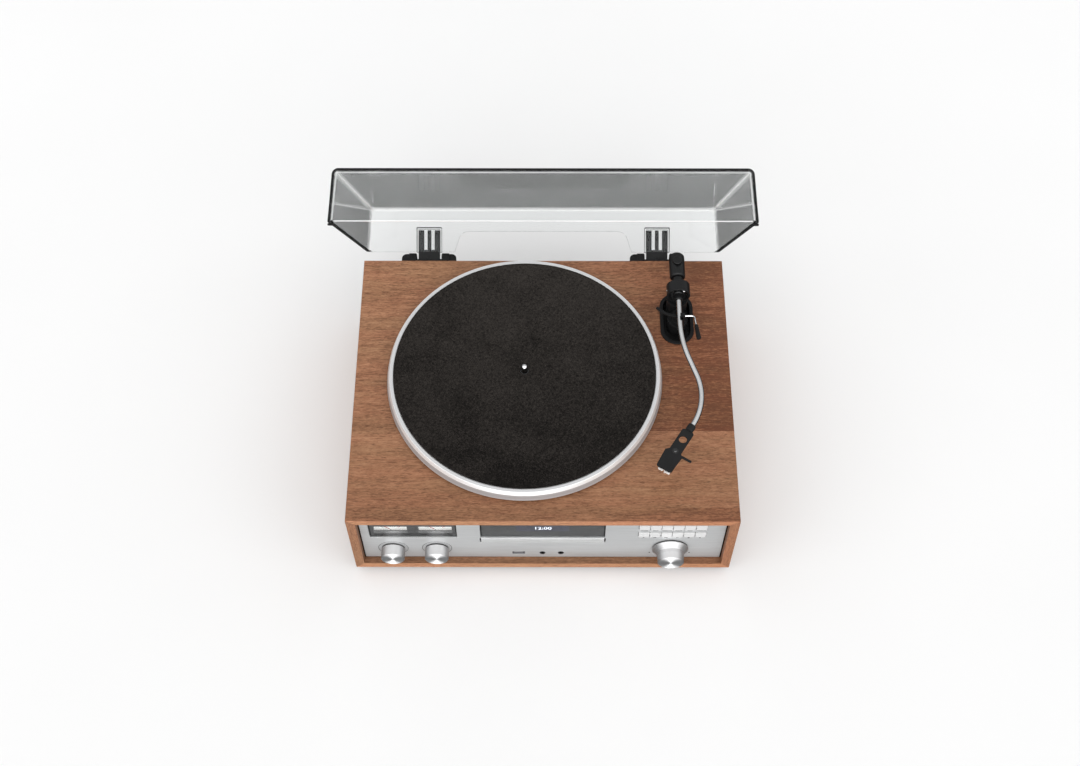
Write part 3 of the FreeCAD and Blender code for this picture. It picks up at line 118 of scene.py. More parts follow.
class Graph:
    """Node layout of one material, with short calls for the nodes used here."""

    def __init__(self, tree: bpy.types.NodeTree, output: str = "ShaderNodeOutputMaterial") -> None:
        """Empty the tree and give it an output and object coordinates.

        Args:
            tree: node tree of a material or world.
            output: type of the output node.
        """
        self.tree = tree
        self.tree.nodes.clear()
        self.output = self.tree.nodes.new(output)
        self.coordinates = self.add("TexCoord")

    @property
    def place(self) -> Socket:
        """Coordinates in metres in the piece's own frame."""
        return self.coordinates.outputs["Object"]

    @property
    def glance(self) -> Socket:
        """How far a face turns away from the look, from 0 to 1."""
        return self.add("LayerWeight", {"Blend": 0.5}).outputs["Facing"]

    def add(self, kind: str, inputs: dict | None = None, **settings: object) -> bpy.types.Node:
        """Add one node.

        Args:
            kind: node type without its ShaderNode prefix.
            inputs: input name or number, with a socket to link or a plain value.
            settings: properties of the node itself.

        Returns:
            The new node.
        """
        node = self.tree.nodes.new("ShaderNode" + kind)
        for key, value in settings.items():
            setattr(node, key, value)
        for key, value in (inputs or {}).items():
            if isinstance(value, Socket):
                self.tree.links.new(value, node.inputs[key])
            else:
                node.inputs[key].default_value = value
        return node

    def vector(self, operation: str, first: Socket, second: Sequence[float] = (0, 0, 0)) -> bpy.types.Node:
        """Node for one sum on two vectors."""
        return self.add("VectorMath", {0: first, 1: second}, operation=operation)

    def axis(self, grain: Grain) -> Socket:
        """Object coordinate along one axis."""
        return self.add("SeparateXYZ", {0: self.place}).outputs[grain.name]

    def round_tangent(self, grain: Grain) -> Socket:
        """Tangent that runs round an axis."""
        return self.add("Tangent", direction_type="RADIAL", axis=grain.name).outputs[0]

    def fibres(self, grain: Grain, stretch: float) -> Socket:
        """Object coordinates drawn out along the grain.

        Args:
            grain: axis of the grain.
            stretch: how many times longer than wide a feature becomes.

        Returns:
            The stretched coordinates.
        """
        factors = [1.0, 1.0, 1.0]
        factors[grain.value] = 1.0 / stretch
        return self.vector("MULTIPLY", self.place, factors).outputs[0]

    def noise(self, vector: Socket, cloud: Cloud) -> Socket:
        """Cloudy value between 0 and 1.

        Args:
            vector: coordinates to read.
            cloud: sizes of the noise.

        Returns:
            The value's socket.
        """
        inputs = {"Vector": vector, "Scale": cloud.scale, "Detail": cloud.octaves, "Roughness": cloud.rough,
                  "Distortion": cloud.bend}
        return self.add("TexNoise", inputs).outputs["Fac"]

    def cloud(self, cloud: Cloud, grain: Grain = Grain.X) -> Socket:
        """Cloudy value drawn out along the grain."""
        return self.noise(self.fibres(grain, cloud.stretch), cloud)

    def figure(self, grain: Grain, *clouds: Cloud) -> Socket:
        """Sum of clouds, each by its own share."""
        return self.total(*[(cloud.share, self.cloud(cloud, grain)) for cloud in clouds])

    def math(self, operation: str, first: Socket | float, second: Socket | float = 0.0) -> Socket:
        """Result of one sum on two values."""
        return self.add("Math", {0: first, 1: second}, operation=operation).outputs[0]

    def times_plus(self, value: Socket, factor: float, offset: Socket | float) -> Socket:
        """Value times a factor, plus another value."""
        return self.add("Math", {0: value, 1: factor, 2: offset}, operation="MULTIPLY_ADD").outputs[0]

    def total(self, *parts: tuple[float, Socket]) -> Socket:
        """Weighted sum of values.

        Args:
            parts: pairs of a weight and a value.

        Returns:
            The sum's socket.
        """
        weight, socket = parts[0]
        result = self.math("MULTIPLY", socket, weight)
        for weight, socket in parts[1:]:
            result = self.times_plus(socket, weight, result)
        return result

    def span(self, value: Socket, low: float, high: float, to_low: float = 0.0,
             to_high: float = 1.0) -> Socket:
        """Value moved from one range to another and held inside it."""
        inputs = {"Value": value, "From Min": low, "From Max": high, "To Min": to_low, "To Max": to_high}
        return self.add("MapRange", inputs).outputs[0]

    def ramp(self, value: Socket, *stops: tuple[float, Colour]) -> Socket:
        """Colour read from a ramp.

        Args:
            value: place on the ramp.
            stops: places with their colours, in order.

        Returns:
            The colour's socket.
        """
        node = self.add("ValToRGB", {"Fac": value})
        elements = node.color_ramp.elements
        while len(elements) < len(stops):
            elements.new(0.5)
        for element, (where, colour) in zip(elements, stops):
            element.position = where
            element.color = (*colour, 1.0)
        return node.outputs["Color"]

    def toned(self, value: Socket, colour: Colour, darker: float, lighter: float,
              reach: float = 0.2) -> Socket:
        """Colour that drifts between two tones of itself."""
        dark, light = (tuple(min(1.0, factor * part) for part in colour) for factor in (darker, lighter))
        return self.ramp(value, (0.5 - reach, dark), (0.5 + reach, light))

    def mix(self, share: Socket | float, first: Socket | Colour, second: Socket | Colour,
            blend: str = "MIX") -> Socket:
        """Two colours mixed by a share.

        Args:
            share: share of the second colour.
            first: the first colour.
            second: the second colour.
            blend: how the second is laid on the first.

        Returns:
            The colour's socket.
        """
        colours = [c if isinstance(c, Socket) else (*c, 1.0) for c in (first, second)]
        node = self.add("Mix", {0: share, 6: colours[0], 7: colours[1]}, data_type="RGBA", blend_type=blend)
        return node.outputs[2]

    def bump(self, height: Socket, depth: float, strength: float = 1.0) -> Socket:
        """Normal bent by a height."""
        inputs = {"Height": height, "Distance": depth, "Strength": strength}
        return self.add("Bump", inputs).outputs["Normal"]

    def mirrored(self, head_on: float, steepness: float) -> Socket:
        """Share of light that a polished face mirrors."""
        return self.times_plus(self.math("POWER", self.glance, steepness), 1.0 - head_on, head_on)

    def show(self, node: bpy.types.Node, where: str = "Surface") -> None:
        """Link a shader to the output."""
        self.tree.links.new(node.outputs[0], self.output.inputs[where])

    def surface(self, inputs: dict) -> None:
        """Put a principled shader on the output."""
        self.show(self.add("BsdfPrincipled", inputs))

    def layered(self, share: Socket, under: bpy.types.Node, over: bpy.types.Node) -> None:
        """Put a mix of two shaders on the output."""
        self.show(self.add("MixShader", {0: share, 1: under.outputs[0], 2: over.outputs[0]}))

    def polished(self, tint: Colour, share: Socket, roughness: Socket) -> None:
        """Put a clear sheet with a gloss over it on the output.

        Args:
            tint: colour that the sheet lets through.
            share: share of light that the gloss mirrors.
            roughness: the gloss's roughness.
        """
        clear = self.add("BsdfTransparent", {"Color": (*tint, 1.0)})
        gloss = self.add("BsdfGlossy", {"Color": (*NO_TINT, 1.0), "Roughness": roughness})
        self.layered(share, clear, gloss)


# Kinds of finish
@dataclass(frozen=True)
class Finish:
    """A surface finish that makes its own node material."""

    name: str

    def shade(self, graph: Graph) -> None:
        """Lay out the finish's nodes."""
        raise NotImplementedError

    def material(self) -> bpy.types.Material:
        """The finish's material, made on first use.

        Returns:
            The material.
        """
        found = bpy.data.materials.get(self.name)
        if found is None:
            found = bpy.data.materials.new(self.name)
            found.use_nodes = True
            self.shade(Graph(found.node_tree))
        return found


@dataclass(frozen=True)
class Veneer(Finish):
    """Oiled walnut veneer laid in strips, with wavy streaks and fine dark pores along its grain."""

    grain: Grain
    light: Colour = (0.50, 0.252, 0.142)
    middle: Colour = (0.365, 0.168, 0.089)
    dark: Colour = (0.165, 0.066, 0.034)
    tan: Colour = (0.93, 1.0, 0.98)
    pore: Colour = (0.100, 0.043, 0.023)
    strip: float = 0.0935
    seam: float = 0.0591
    red: Colour = (0.94, 0.78, 0.69)
    unlike: float = 0.025
    fade: float = 0.11
    leaf_step: float = 1.9
    leaf_start: float = 3.9
    # painted shade: the walnut grows darker and redder towards the front
    front_painted_shade: Colour = (0.80, 0.765, 0.735)
    last_strip: float = 1.0
    reddens: Point = (0.05, 0.18)
    nears: Point = (0.06, -0.17)
    bands: Cloud = Cloud(18, 3, 0.55, 0.6, 7, 0.14)
    streaks: Cloud = Cloud(200, 4, 0.6, 0.5, 12, 0.22)
    dashes: Cloud = Cloud(760, 3, 0.6, 0.9, 4, 0.40)
    lines: Cloud = Cloud(1200, stretch=20, share=0.24)
    hues: Cloud = Cloud(40, 3, 0.6, stretch=6)
    hue_range: Point = (0.42, 0.58)
    pores: Cloud = Cloud(1100, stretch=8, share=0.62)
    pore_range: Point = (0.56, 0.67)

    def shade(self, graph: Graph) -> None:
        """Mix the figure from coarse to fine along the grain, strip by strip.

        Args:
            graph: the node layout to fill.
        """
        strips = graph.math("DIVIDE", graph.math("ADD", graph.axis(Grain.Y), self.seam), self.strip)
        number = graph.math("MINIMUM", graph.math("FLOOR", strips), self.last_strip)
        leaf = graph.math("SINE", graph.times_plus(number, self.leaf_step, self.leaf_start))
        at_right = graph.span(graph.axis(Grain.X), *self.reddens)
        to_right = graph.math("MULTIPLY", graph.span(leaf, 1.0, -1.0), at_right)
        figure = graph.figure(self.grain, self.bands, self.streaks, self.dashes, self.lines)
        tone = graph.total((1.0, figure), (self.unlike, leaf), (-self.fade, to_right))
        colour = graph.ramp(tone, (0.375, self.dark), (0.50, self.middle), (0.625, self.light))
        hue = graph.span(graph.cloud(self.hues, self.grain), *self.hue_range)
        # painted shade towards the front of the board
        nearer_painted_shade = graph.span(graph.axis(Grain.Y), *self.nears)
        for share, tint in ((hue, self.tan), (to_right, self.red), (nearer_painted_shade, self.front_painted_shade)):
            colour = graph.mix(share, colour, tint, "MULTIPLY")
        pores = graph.span(graph.cloud(self.pores, self.grain), *self.pore_range)
        colour = graph.mix(graph.math("MULTIPLY", pores, self.pores.share), colour, self.pore)
        depth = graph.total((-0.7, pores), (0.3, graph.cloud(self.lines, self.grain)))
        graph.surface({
            "Base Color": colour,
            "Roughness": graph.span(tone, 0.35, 0.65, 0.54, 0.42),
            "Specular IOR Level": 0.25,
            "Normal": graph.bump(depth, 0.00012, 0.6),
        })


@dataclass(frozen=True)
class Brushed(Finish):
    """Silver panel brushed along one axis."""

    grain: Grain
    colour: Colour = (0.61, 0.62, 0.625)
    metal: float = 0.45
    roughness: float = 0.36
    anisotropy: float = 0.7
    low_painted_shade: float = 1.0
    painted_shade_heights: Point = (0.045, 0.018)
    scratches: Cloud = Cloud(2600, 2, 0.6, stretch=90, share=0.75)
    drift: Cloud = Cloud(14, share=0.25)

    def shade(self, graph: Graph) -> None:
        """Fine long scratches over a faint cloud, darkened towards the bottom as painted shade.

        Args:
            graph: the node layout to fill.
        """
        lines = graph.cloud(self.scratches, self.grain)
        shade = graph.figure(self.grain, self.scratches, self.drift)
        colour = graph.toned(shade, self.colour, 0.86, 1.08)
        # painted shade: the colour darkens towards the bottom of the panel
        lower = graph.span(graph.axis(Grain.Z), *self.painted_shade_heights, 1.0, self.low_painted_shade)
        graph.surface({
            "Base Color": graph.mix(1.0, colour, lower, "MULTIPLY"),
            "Metallic": self.metal,
            "Roughness": graph.span(lines, 0.3, 0.7, self.roughness - 0.06, self.roughness + 0.08),
            "Anisotropic": self.anisotropy,
            "Tangent": graph.round_tangent(self.grain),
            "Normal": graph.bump(lines, 0.00003, 0.5),
        })


@dataclass(frozen=True)
class Spun(Finish):
    """Silver turned on a lathe, with fine rings round an axis."""

    grain: Grain
    centre: Triple
    colour: Colour = (0.94, 0.94, 0.945)
    roughness: float = 0.55
    anisotropy: float = 0.9
    ring_pitch: float = 0.00045
    metal: float = 0.95
    wobble: Cloud = Cloud(900, share=0.2)

    def shade(self, graph: Graph) -> None:
        """Rings by distance from the axis, with a tangent that runs round it.

        Args:
            graph: the node layout to fill.
        """
        flat = [1.0, 1.0, 1.0]
        flat[self.grain.value] = 0.0
        away = graph.vector("SUBTRACT", graph.place, self.centre).outputs[0]
        radius = graph.vector("LENGTH", graph.vector("MULTIPLY", away, flat).outputs[0]).outputs["Value"]
        rings = graph.add("TexNoise", {"W": graph.math("DIVIDE", radius, self.ring_pitch), "Scale": 1.0,
                                       "Detail": 2.0}, noise_dimensions="1D").outputs["Fac"]
        shade = graph.total((1.0 - self.wobble.share, rings), (self.wobble.share, graph.cloud(self.wobble)))
        graph.surface({
            "Base Color": graph.toned(shade, self.colour, 0.88, 1.06, 0.25),
            "Metallic": self.metal,
            "Roughness": graph.span(rings, 0.25, 0.75, self.roughness - 0.05, self.roughness + 0.07),
            "Anisotropic": self.anisotropy,
            "Anisotropic Rotation": 0.25,
            "Tangent": graph.round_tangent(self.grain),
            "Normal": graph.bump(rings, 0.00002, 0.4),
        })


@dataclass(frozen=True)
class Metal(Finish):
    """Plain bright metal with faint wipe marks."""

    colour: Colour
    roughness: float
    # share of the colour left where the metal turns away from the view: painted shade
    edge: float = 1.0
    wipes: Cloud = Cloud(60, 4, 0.6)
    skin: Cloud = Cloud(2400)

    def shade(self, graph: Graph) -> None:
        """Roughness and tone that vary a little, with painted shade that darkens the colour where the metal
        turns away.

        Args:
            graph: the node layout to fill.
        """
        marks = graph.cloud(self.wipes)
        colour = graph.toned(marks, self.colour, 0.93, 1.0)
        turned = graph.span(graph.glance, 0.06, 0.50)
        graph.surface({
            "Base Color": graph.mix(turned, colour, (self.edge,) * 3, "MULTIPLY"),
            "Metallic": 1.0,
            "Roughness": graph.span(marks, 0.3, 0.7, 0.7 * self.roughness, 1.35 * self.roughness),
            "Normal": graph.bump(graph.cloud(self.skin), 0.000004, 0.3),
        })


@dataclass(frozen=True)
class Moulded(Finish):
    """Moulded plastic or paint with a fine texture."""

    colour: Colour
    roughness: float = 0.45
    texture: float = 2200.0
    depth: float = 0.00003
    gloss: float = 0.45
    drift: Cloud = Cloud(45, 3, 0.55, share=0.55)

    def shade(self, graph: Graph) -> None:
        """Fine bumps, with a slow drift of tone and gloss.

        Args:
            graph: the node layout to fill.
        """
        fine = graph.cloud(Cloud(self.texture, 2, 0.6))
        shade = graph.total((1.0 - self.drift.share, fine), (self.drift.share, graph.cloud(self.drift)))
        graph.surface({
            "Base Color": graph.toned(shade, self.colour, 0.78, 1.22),
            "Roughness": graph.span(shade, 0.3, 0.7, self.roughness - 0.06, self.roughness + 0.08),
            "Specular IOR Level": self.gloss,
            "Normal": graph.bump(fine, self.depth, 0.5),
        })


@dataclass(frozen=True)
class Acrylic(Finish):
    """Clear cast acrylic that mirrors by angle and greys the light that runs through it."""

    tint: Colour = (0.975, 0.98, 0.98)
    head_on: float = 0.012
    steepness: float = 5.0
    smoke: Colour = (0.46, 0.47, 0.47)
    density: float = 4.4
    wipes: Cloud = Cloud(25, 4, 0.6, stretch=1 / 3)

    def shade(self, graph: Graph) -> None:
        """Gloss by angle with faint wipe marks over a clear sheet, and absorption inside.

        Args:
            graph: the node layout to fill.
        """
        wiped = graph.cloud(self.wipes, Grain.Y)
        share = graph.mirrored(self.head_on, self.steepness)
        graph.polished(self.tint, share, graph.span(wiped, 0.45, 0.75, 0.0, 0.03))
        inside = graph.add("VolumeAbsorption", {"Color": (*self.smoke, 1.0), "Density": self.density})
        graph.show(inside, "Volume")


@dataclass(frozen=True)
class AcrylicEdge(Finish):
    """Rounded edge of the acrylic, darkened as painted shade where it is seen along its curve."""

    clear_tint: Colour = (0.95, 0.955, 0.955)
    dark_tint: Colour = (0.055, 0.055, 0.055)
    turns_at: float = 0.15
    dark_at: float = 0.25
    waver: Cloud = Cloud(40, share=0.05)

    def shade(self, graph: Graph) -> None:
        """Clear sheet with painted shade that darkens with the angle, a little unevenly.

        Args:
            graph: the node layout to fill.
        """
        uneven = graph.total((1.0, graph.glance), (self.waver.share, graph.cloud(self.waver)))
        colour = graph.ramp(uneven, (self.turns_at, self.clear_tint), (self.dark_at, self.dark_tint))
        graph.show(graph.add("BsdfTransparent", {"Color": colour}))


@dataclass(frozen=True)
class AcrylicPaintedHighlight(Finish):
    """Inner corner of the acrylic, with a painted highlight along its length."""

    colour: Colour = (0.95, 0.95, 0.95)
    share: float = 0.9
    from_angle: float = 0.06
    turn: float = 0.08
    patches: Cloud = Cloud(30)
    clear_tint: Colour = (0.97, 0.97, 0.97)

    def shade(self, graph: Graph) -> None:
        """Painted highlight: a pale haze over a clear sheet.

        Args:
            graph: the node layout to fill.
        """
        uneven = graph.span(graph.cloud(self.patches), 0.3, 0.7, 0.85 * self.share, 1.1 * self.share)
        curve = graph.span(graph.glance, self.from_angle, self.from_angle + self.turn)
        clear = graph.add("BsdfTransparent", {"Color": (*self.clear_tint, 1.0)})
        painted_haze = graph.add("BsdfDiffuse", {"Color": (*self.colour, 1.0)})
        graph.layered(graph.math("MULTIPLY", curve, uneven), clear, painted_haze)


@dataclass(frozen=True)
class Pane(Finish):
    """Thin polished window that mirrors a little and lets the rest through."""

    tint: Colour = (0.96, 0.965, 0.965)
    smears: Cloud = Cloud(90, 3, 0.6)
    head_on: float = 0.04
    steepness: float = 5.0

    def shade(self, graph: Graph) -> None:
        """Gloss by angle over a clear sheet."""
        smeared = graph.span(graph.cloud(self.smears), 0.4, 0.8, 0.015, 0.06)
        graph.polished(self.tint, graph.mirrored(self.head_on, self.steepness), smeared)


@dataclass(frozen=True)
class Felt(Finish):
    """Pressed felt: dark, mottled, with pale fibres."""

    dark: Colour = (0.0040, 0.0034, 0.0030)
    light: Colour = (0.038, 0.033, 0.0295)
    fibre: Colour = (0.13, 0.118, 0.11)
    patches: Cloud = Cloud(14, 3, 0.6, 0.6, share=0.14)
    clumps: Cloud = Cloud(520, 3, 0.7, 1.2, share=0.48)
    hairs: Cloud = Cloud(1900, 3, 0.7, 2.0, share=0.38)
    specks: Cloud = Cloud(1100, 2, 0.6, 1.5, share=0.6)
    speck_range: Point = (0.66, 0.76)
    # the felt grows paler towards the back and darker towards the front, as painted light
    painted_light_to_back: float = 0.24

    def shade(self, graph: Graph) -> None:
        """Mottle from patches, clumps and single fibres, with painted light that grows towards the back.

        Args:
            graph: the node layout to fill.
        """
        figure = graph.figure(Grain.X, self.patches, self.clumps, self.hairs)
        mottle = graph.total((1.0, figure), (self.painted_light_to_back, graph.axis(Grain.Y)))
        colour = graph.ramp(mottle, (0.45, self.dark), (0.57, self.light))
        specks = graph.span(graph.cloud(self.specks), *self.speck_range)
        colour = graph.mix(graph.math("MULTIPLY", specks, self.specks.share), colour, self.fibre)
        graph.surface({
            "Base Color": colour,
            "Roughness": graph.span(graph.cloud(self.hairs), 0.3, 0.7, 0.9, 1.0),
            "Specular IOR Level": 0.08,
            "Sheen Weight": 0.04,
            "Sheen Roughness": 0.5,
            "Sheen Tint": (0.6, 0.55, 0.52, 1.0),
            "Normal": graph.bump(mottle, 0.0006, 0.8),
        })


@dataclass(frozen=True)
class Glow(Finish):
    """Part that glows: the display's panel and figures, and the meter dials."""

    colour: Colour
    strength: float
    dots: Cloud = Cloud(3200, 1)

    def shade(self, graph: Graph) -> None:
        """Light from behind with a faint dot pattern.

        Args:
            graph: the node layout to fill.
        """
        dots = graph.cloud(self.dots)
        graph.surface({
            "Base Color": graph.toned(dots, self.colour, 0.5, 1.0),
            "Roughness": graph.span(dots, 0.3, 0.7, 0.3, 0.4),
            "Emission Color": (*self.colour, 1.0),
            "Emission Strength": self.strength,
        })


# Finishes of this record player
WALNUT_TOP = Veneer("walnut_top", Grain.X)
WALNUT_SIDE = Veneer("walnut_side", Grain.Z, fade=0.02, unlike=0.01, red=NO_TINT)
# Inner faces of the front recess: a darker copy of the walnut, as painted shade.
WALNUT_INSIDE_PAINTED_SHADE = Veneer("walnut_inside", Grain.X, (0.34, 0.165, 0.090), (0.24, 0.108, 0.056),
                       (0.12, 0.048, 0.024), unlike=0.0, fade=0.02, front_painted_shade=NO_TINT)
TONGUE_GREY = Moulded("usb_tongue_grey", (0.33, 0.33, 0.335), 0.4)
# Inner faces of the boards behind the fascia: near-black painted shade.
INSIDE_PAINTED_SHADE = Moulded("inside_black", (0.028, 0.018, 0.013), 0.7, 1200, 0.00004, 0.1)
# Front faces of the boards: a lighter copy of the walnut, as painted light.
EDGE_ACROSS_PAINTED_LIGHT = Veneer("walnut_edge_across", Grain.X, (0.60, 0.290, 0.160), (0.49, 0.224, 0.120),
                     (0.30, 0.126, 0.065), pore=(0.20, 0.085, 0.045), unlike=0.0, fade=0.0,
                     front_painted_shade=NO_TINT)
EDGE_UPRIGHT_PAINTED_LIGHT = Veneer("walnut_edge_upright", Grain.Z, (0.54, 0.275, 0.158), (0.42, 0.205, 0.116),
                      (0.26, 0.118, 0.066), pore=(0.17, 0.075, 0.042), unlike=0.0, fade=0.0)
# The fascia darkens towards its bottom edge as painted shade.
FASCIA_SILVER = Brushed("fascia_brushed_silver", Grain.X, low_painted_shade=0.80)
BUTTON_SILVER = Brushed("button_silver", Grain.X, (0.70, 0.705, 0.71), 0.3, 0.3)
TRAY_SILVER = Brushed("tray_front_silver", Grain.X, (0.68, 0.69, 0.69), 0.35, 0.28)
# Chrome darkens where it turns away from the view, as painted shade.
CHROME = Metal("polished_chrome", (0.95, 0.95, 0.96), 0.12, edge=0.26)
STEEL = Metal("bright_steel", (0.66, 0.66, 0.67), 0.25)
DARK_STEEL = Metal("dark_steel", (0.09, 0.09, 0.092), 0.3)
BRASS = Metal("turned_brass", (0.78, 0.58, 0.28), 0.25)
SATIN_BLACK = Moulded("satin_black_paint", (0.009, 0.009, 0.0095), 0.36, 1800, 0.00001, 0.25)
MOULDED_BLACK = Moulded("moulded_black", (0.009, 0.009, 0.0095), 0.42, gloss=0.15)
SHELL_BLACK = Moulded("headshell_black", (0.016, 0.016, 0.0165), 0.55, gloss=0.12)
PANEL_BLACK = Moulded("rear_panel_black", (0.016, 0.016, 0.0165), 0.55, 900, 0.0001)
RUBBER_BLACK = Moulded("black_rubber", (0.009, 0.009, 0.009), 0.70, 1500, 0.00006, 0.2)
DRIVE_GREY = Moulded("drive_grey", (0.06, 0.06, 0.065), 0.5)
TRAY_BLACK = Moulded("tray_black", (0.025, 0.025, 0.027), 0.4)
MASK_GREY = Moulded("window_mask_grey", (0.094, 0.095, 0.096), 0.5, 2600, 0.000005, 0.3)
MASK_BLACK = Moulded("window_border_black", (0.012, 0.012, 0.012), 0.5, 2600, 0.000005, 0.3)
DIAL_CARD = Moulded("dial_card", (0.86, 0.86, 0.84), 0.7, 2600, 0.00001, 0.2)
METER_GREY = Moulded("meter_mask_grey", (0.20, 0.20, 0.20), 0.45)
WHITE_PLASTIC = Moulded("white_plastic", (0.86, 0.85, 0.83), 0.4)
RED_PLASTIC = Moulded("red_plastic", (0.42, 0.02, 0.02), 0.35)
# Black print, and also painted shade in the headshell screw's recess.
INK_AND_PAINTED_SHADE_BLACK = Moulded("black_ink", (0.03, 0.03, 0.03), 0.6, 2600, 0.000002, 0.2)
INK_GREY = Moulded("grey_ink", (0.14, 0.14, 0.14), 0.6, 2600, 0.000002, 0.2)
INK_RED = Moulded("red_ink", (0.62, 0.035, 0.03), 0.6, 2600, 0.000002, 0.2)
# Near-black painted shade for the grooves round the tone knobs, the knobs' backs and the spindle's seat.
RECESS_PAINTED_SHADE = Moulded("groove_dark", (0.03, 0.03, 0.03), 0.6)
BOARD_GREEN = Moulded("circuit_board_green", (0.02, 0.11, 0.045), 0.4)
COIL_VARNISH = Moulded("varnished_core", (0.10, 0.075, 0.05), 0.45)
CLEAR_COVER = Acrylic("clear_acrylic")
# Outer edges and rims of the cover: painted shade.
COVER_EDGE_PAINTED_SHADE = AcrylicEdge("acrylic_outer_edge")
# Inner corners and front rim of the cover: painted highlight.
COVER_PAINTED_HIGHLIGHT = AcrylicPaintedHighlight("acrylic_inner_corner")
COVER_RIM_PAINTED_HIGHLIGHT = AcrylicPaintedHighlight("acrylic_front_rim", share=0.65, from_angle=-1.0)
WINDOW_PANE = Pane("window_pane")
FELT = Felt("pressed_felt")
PANEL_GLOW = Glow("display_panel_glow", (0.12, 0.12, 0.155), 0.05)
# The dials glow as a backlight, bright enough to cover the shade that the mask casts on them: partly
# painted light.
DIAL_LIT = Glow("lit_dial_card", (0.86, 0.86, 0.84), 0.75)
DIGIT_GLOW = Glow("display_digit_glow", (0.85, 0.9, 1.0), 1.6)


# Frames, outlines and paths
def facing(origin: Vector, direction: Vector) -> Matrix:
    """Frame at a point whose Z axis looks along a direction."""
    return Matrix.Translation(origin) @ direction.to_track_quat("Z", "Y").to_matrix().to_4x4()


def front_frame(x: float, y: float, z: float) -> Matrix:
    """Frame on the front panel: its X runs right, its Y up, and its Z out to the front."""
    return Matrix.Translation((x, y, z)) @ Matrix.Rotation(math.pi / 2, 4, "X")


def middle_of(node: str) -> Vector:
    """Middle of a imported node's box."""
    low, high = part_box(node)
    return (low + high) / 2


def oblong(left: float, low: float, right: float, high: float) -> list[Point]:
    """Outline of a rectangle."""
    return [(left, low), (right, low), (right, high), (left, high)]


def arc(centre: Point, radius: float, start: float, end: float, steps: int) -> list[Point]:
    """Points on an arc between two angles in degrees, with a number of stretches."""
    angles = [math.radians(start + (end - start) * i / steps) for i in range(steps + 1)]
    return [(centre[0] + radius * math.cos(a), centre[1] + radius * math.sin(a)) for a in angles]


def rounded(corners: Sequence[Point], radius: float, steps: int = 4, closed: bool = True) -> list[Point]:
    """Outline with every corner rounded, less where its sides are short.

    Args:
        corners: the outline's corners in order.
        radius: largest radius to use.
        steps: stretches on each arc.
        closed: whether the last corner joins the first; if not, both ends stay sharp.

    Returns:
        The rounded outline.
    """
    points: list[Point] = []
    count = len(corners)
    for i, corner in enumerate(corners):
        if not closed and i in (0, count - 1):
            points.append(corner)
            continue
        here = Vector(corner)
        before = Vector(corners[i - 1]) - here
        after = Vector(corners[(i + 1) % count]) - here
        half = before.angle(after) / 2
        trim = min(radius / math.tan(half), 0.45 * before.length, 0.45 * after.length)
        if half > math.radians(89) or trim < WELD:
            points.append(corner)
            continue
        size = trim * math.tan(half)
        back, on = before.normalized(), after.normalized()
        middle = here + (back + on).normalized() * (size / math.sin(half))
        first = here + back * trim - middle
        last = here + on * trim - middle
        turn = first.angle_signed(last)
        for step in range(steps + 1):
            spoke = first.copy()
            spoke.rotate(Matrix.Rotation(-turn * step / steps, 2))
            points.append(tuple(middle + spoke))
    return points


def bent_path(corners: Sequence[Vector], radii: Sequence[float], steps: int) -> list[Vector]:
    """Points along straight runs joined by tangent arcs.

    Args:
        corners: ends and bends of the path.
        radii: radius at each bend.
        steps: stretches on each arc.

    Returns:
        The points in order.
    """
    points = [corners[0]]
    for before, corner, after, radius in zip(corners, corners[1:], corners[2:], radii):
        way_in = (corner - before).normalized()
        way_out = (after - corner).normalized()
        turn = way_in.angle(way_out)
        start = corner - way_in * radius * math.tan(turn / 2)
        axis = way_in.cross(way_out).normalized()
        centre = start + axis.cross(way_in) * radius
        for step in range(steps + 1):
            points.append(centre + Quaternion(axis, turn * step / steps) @ (start - centre))
    points.append(corners[-1])
    return points


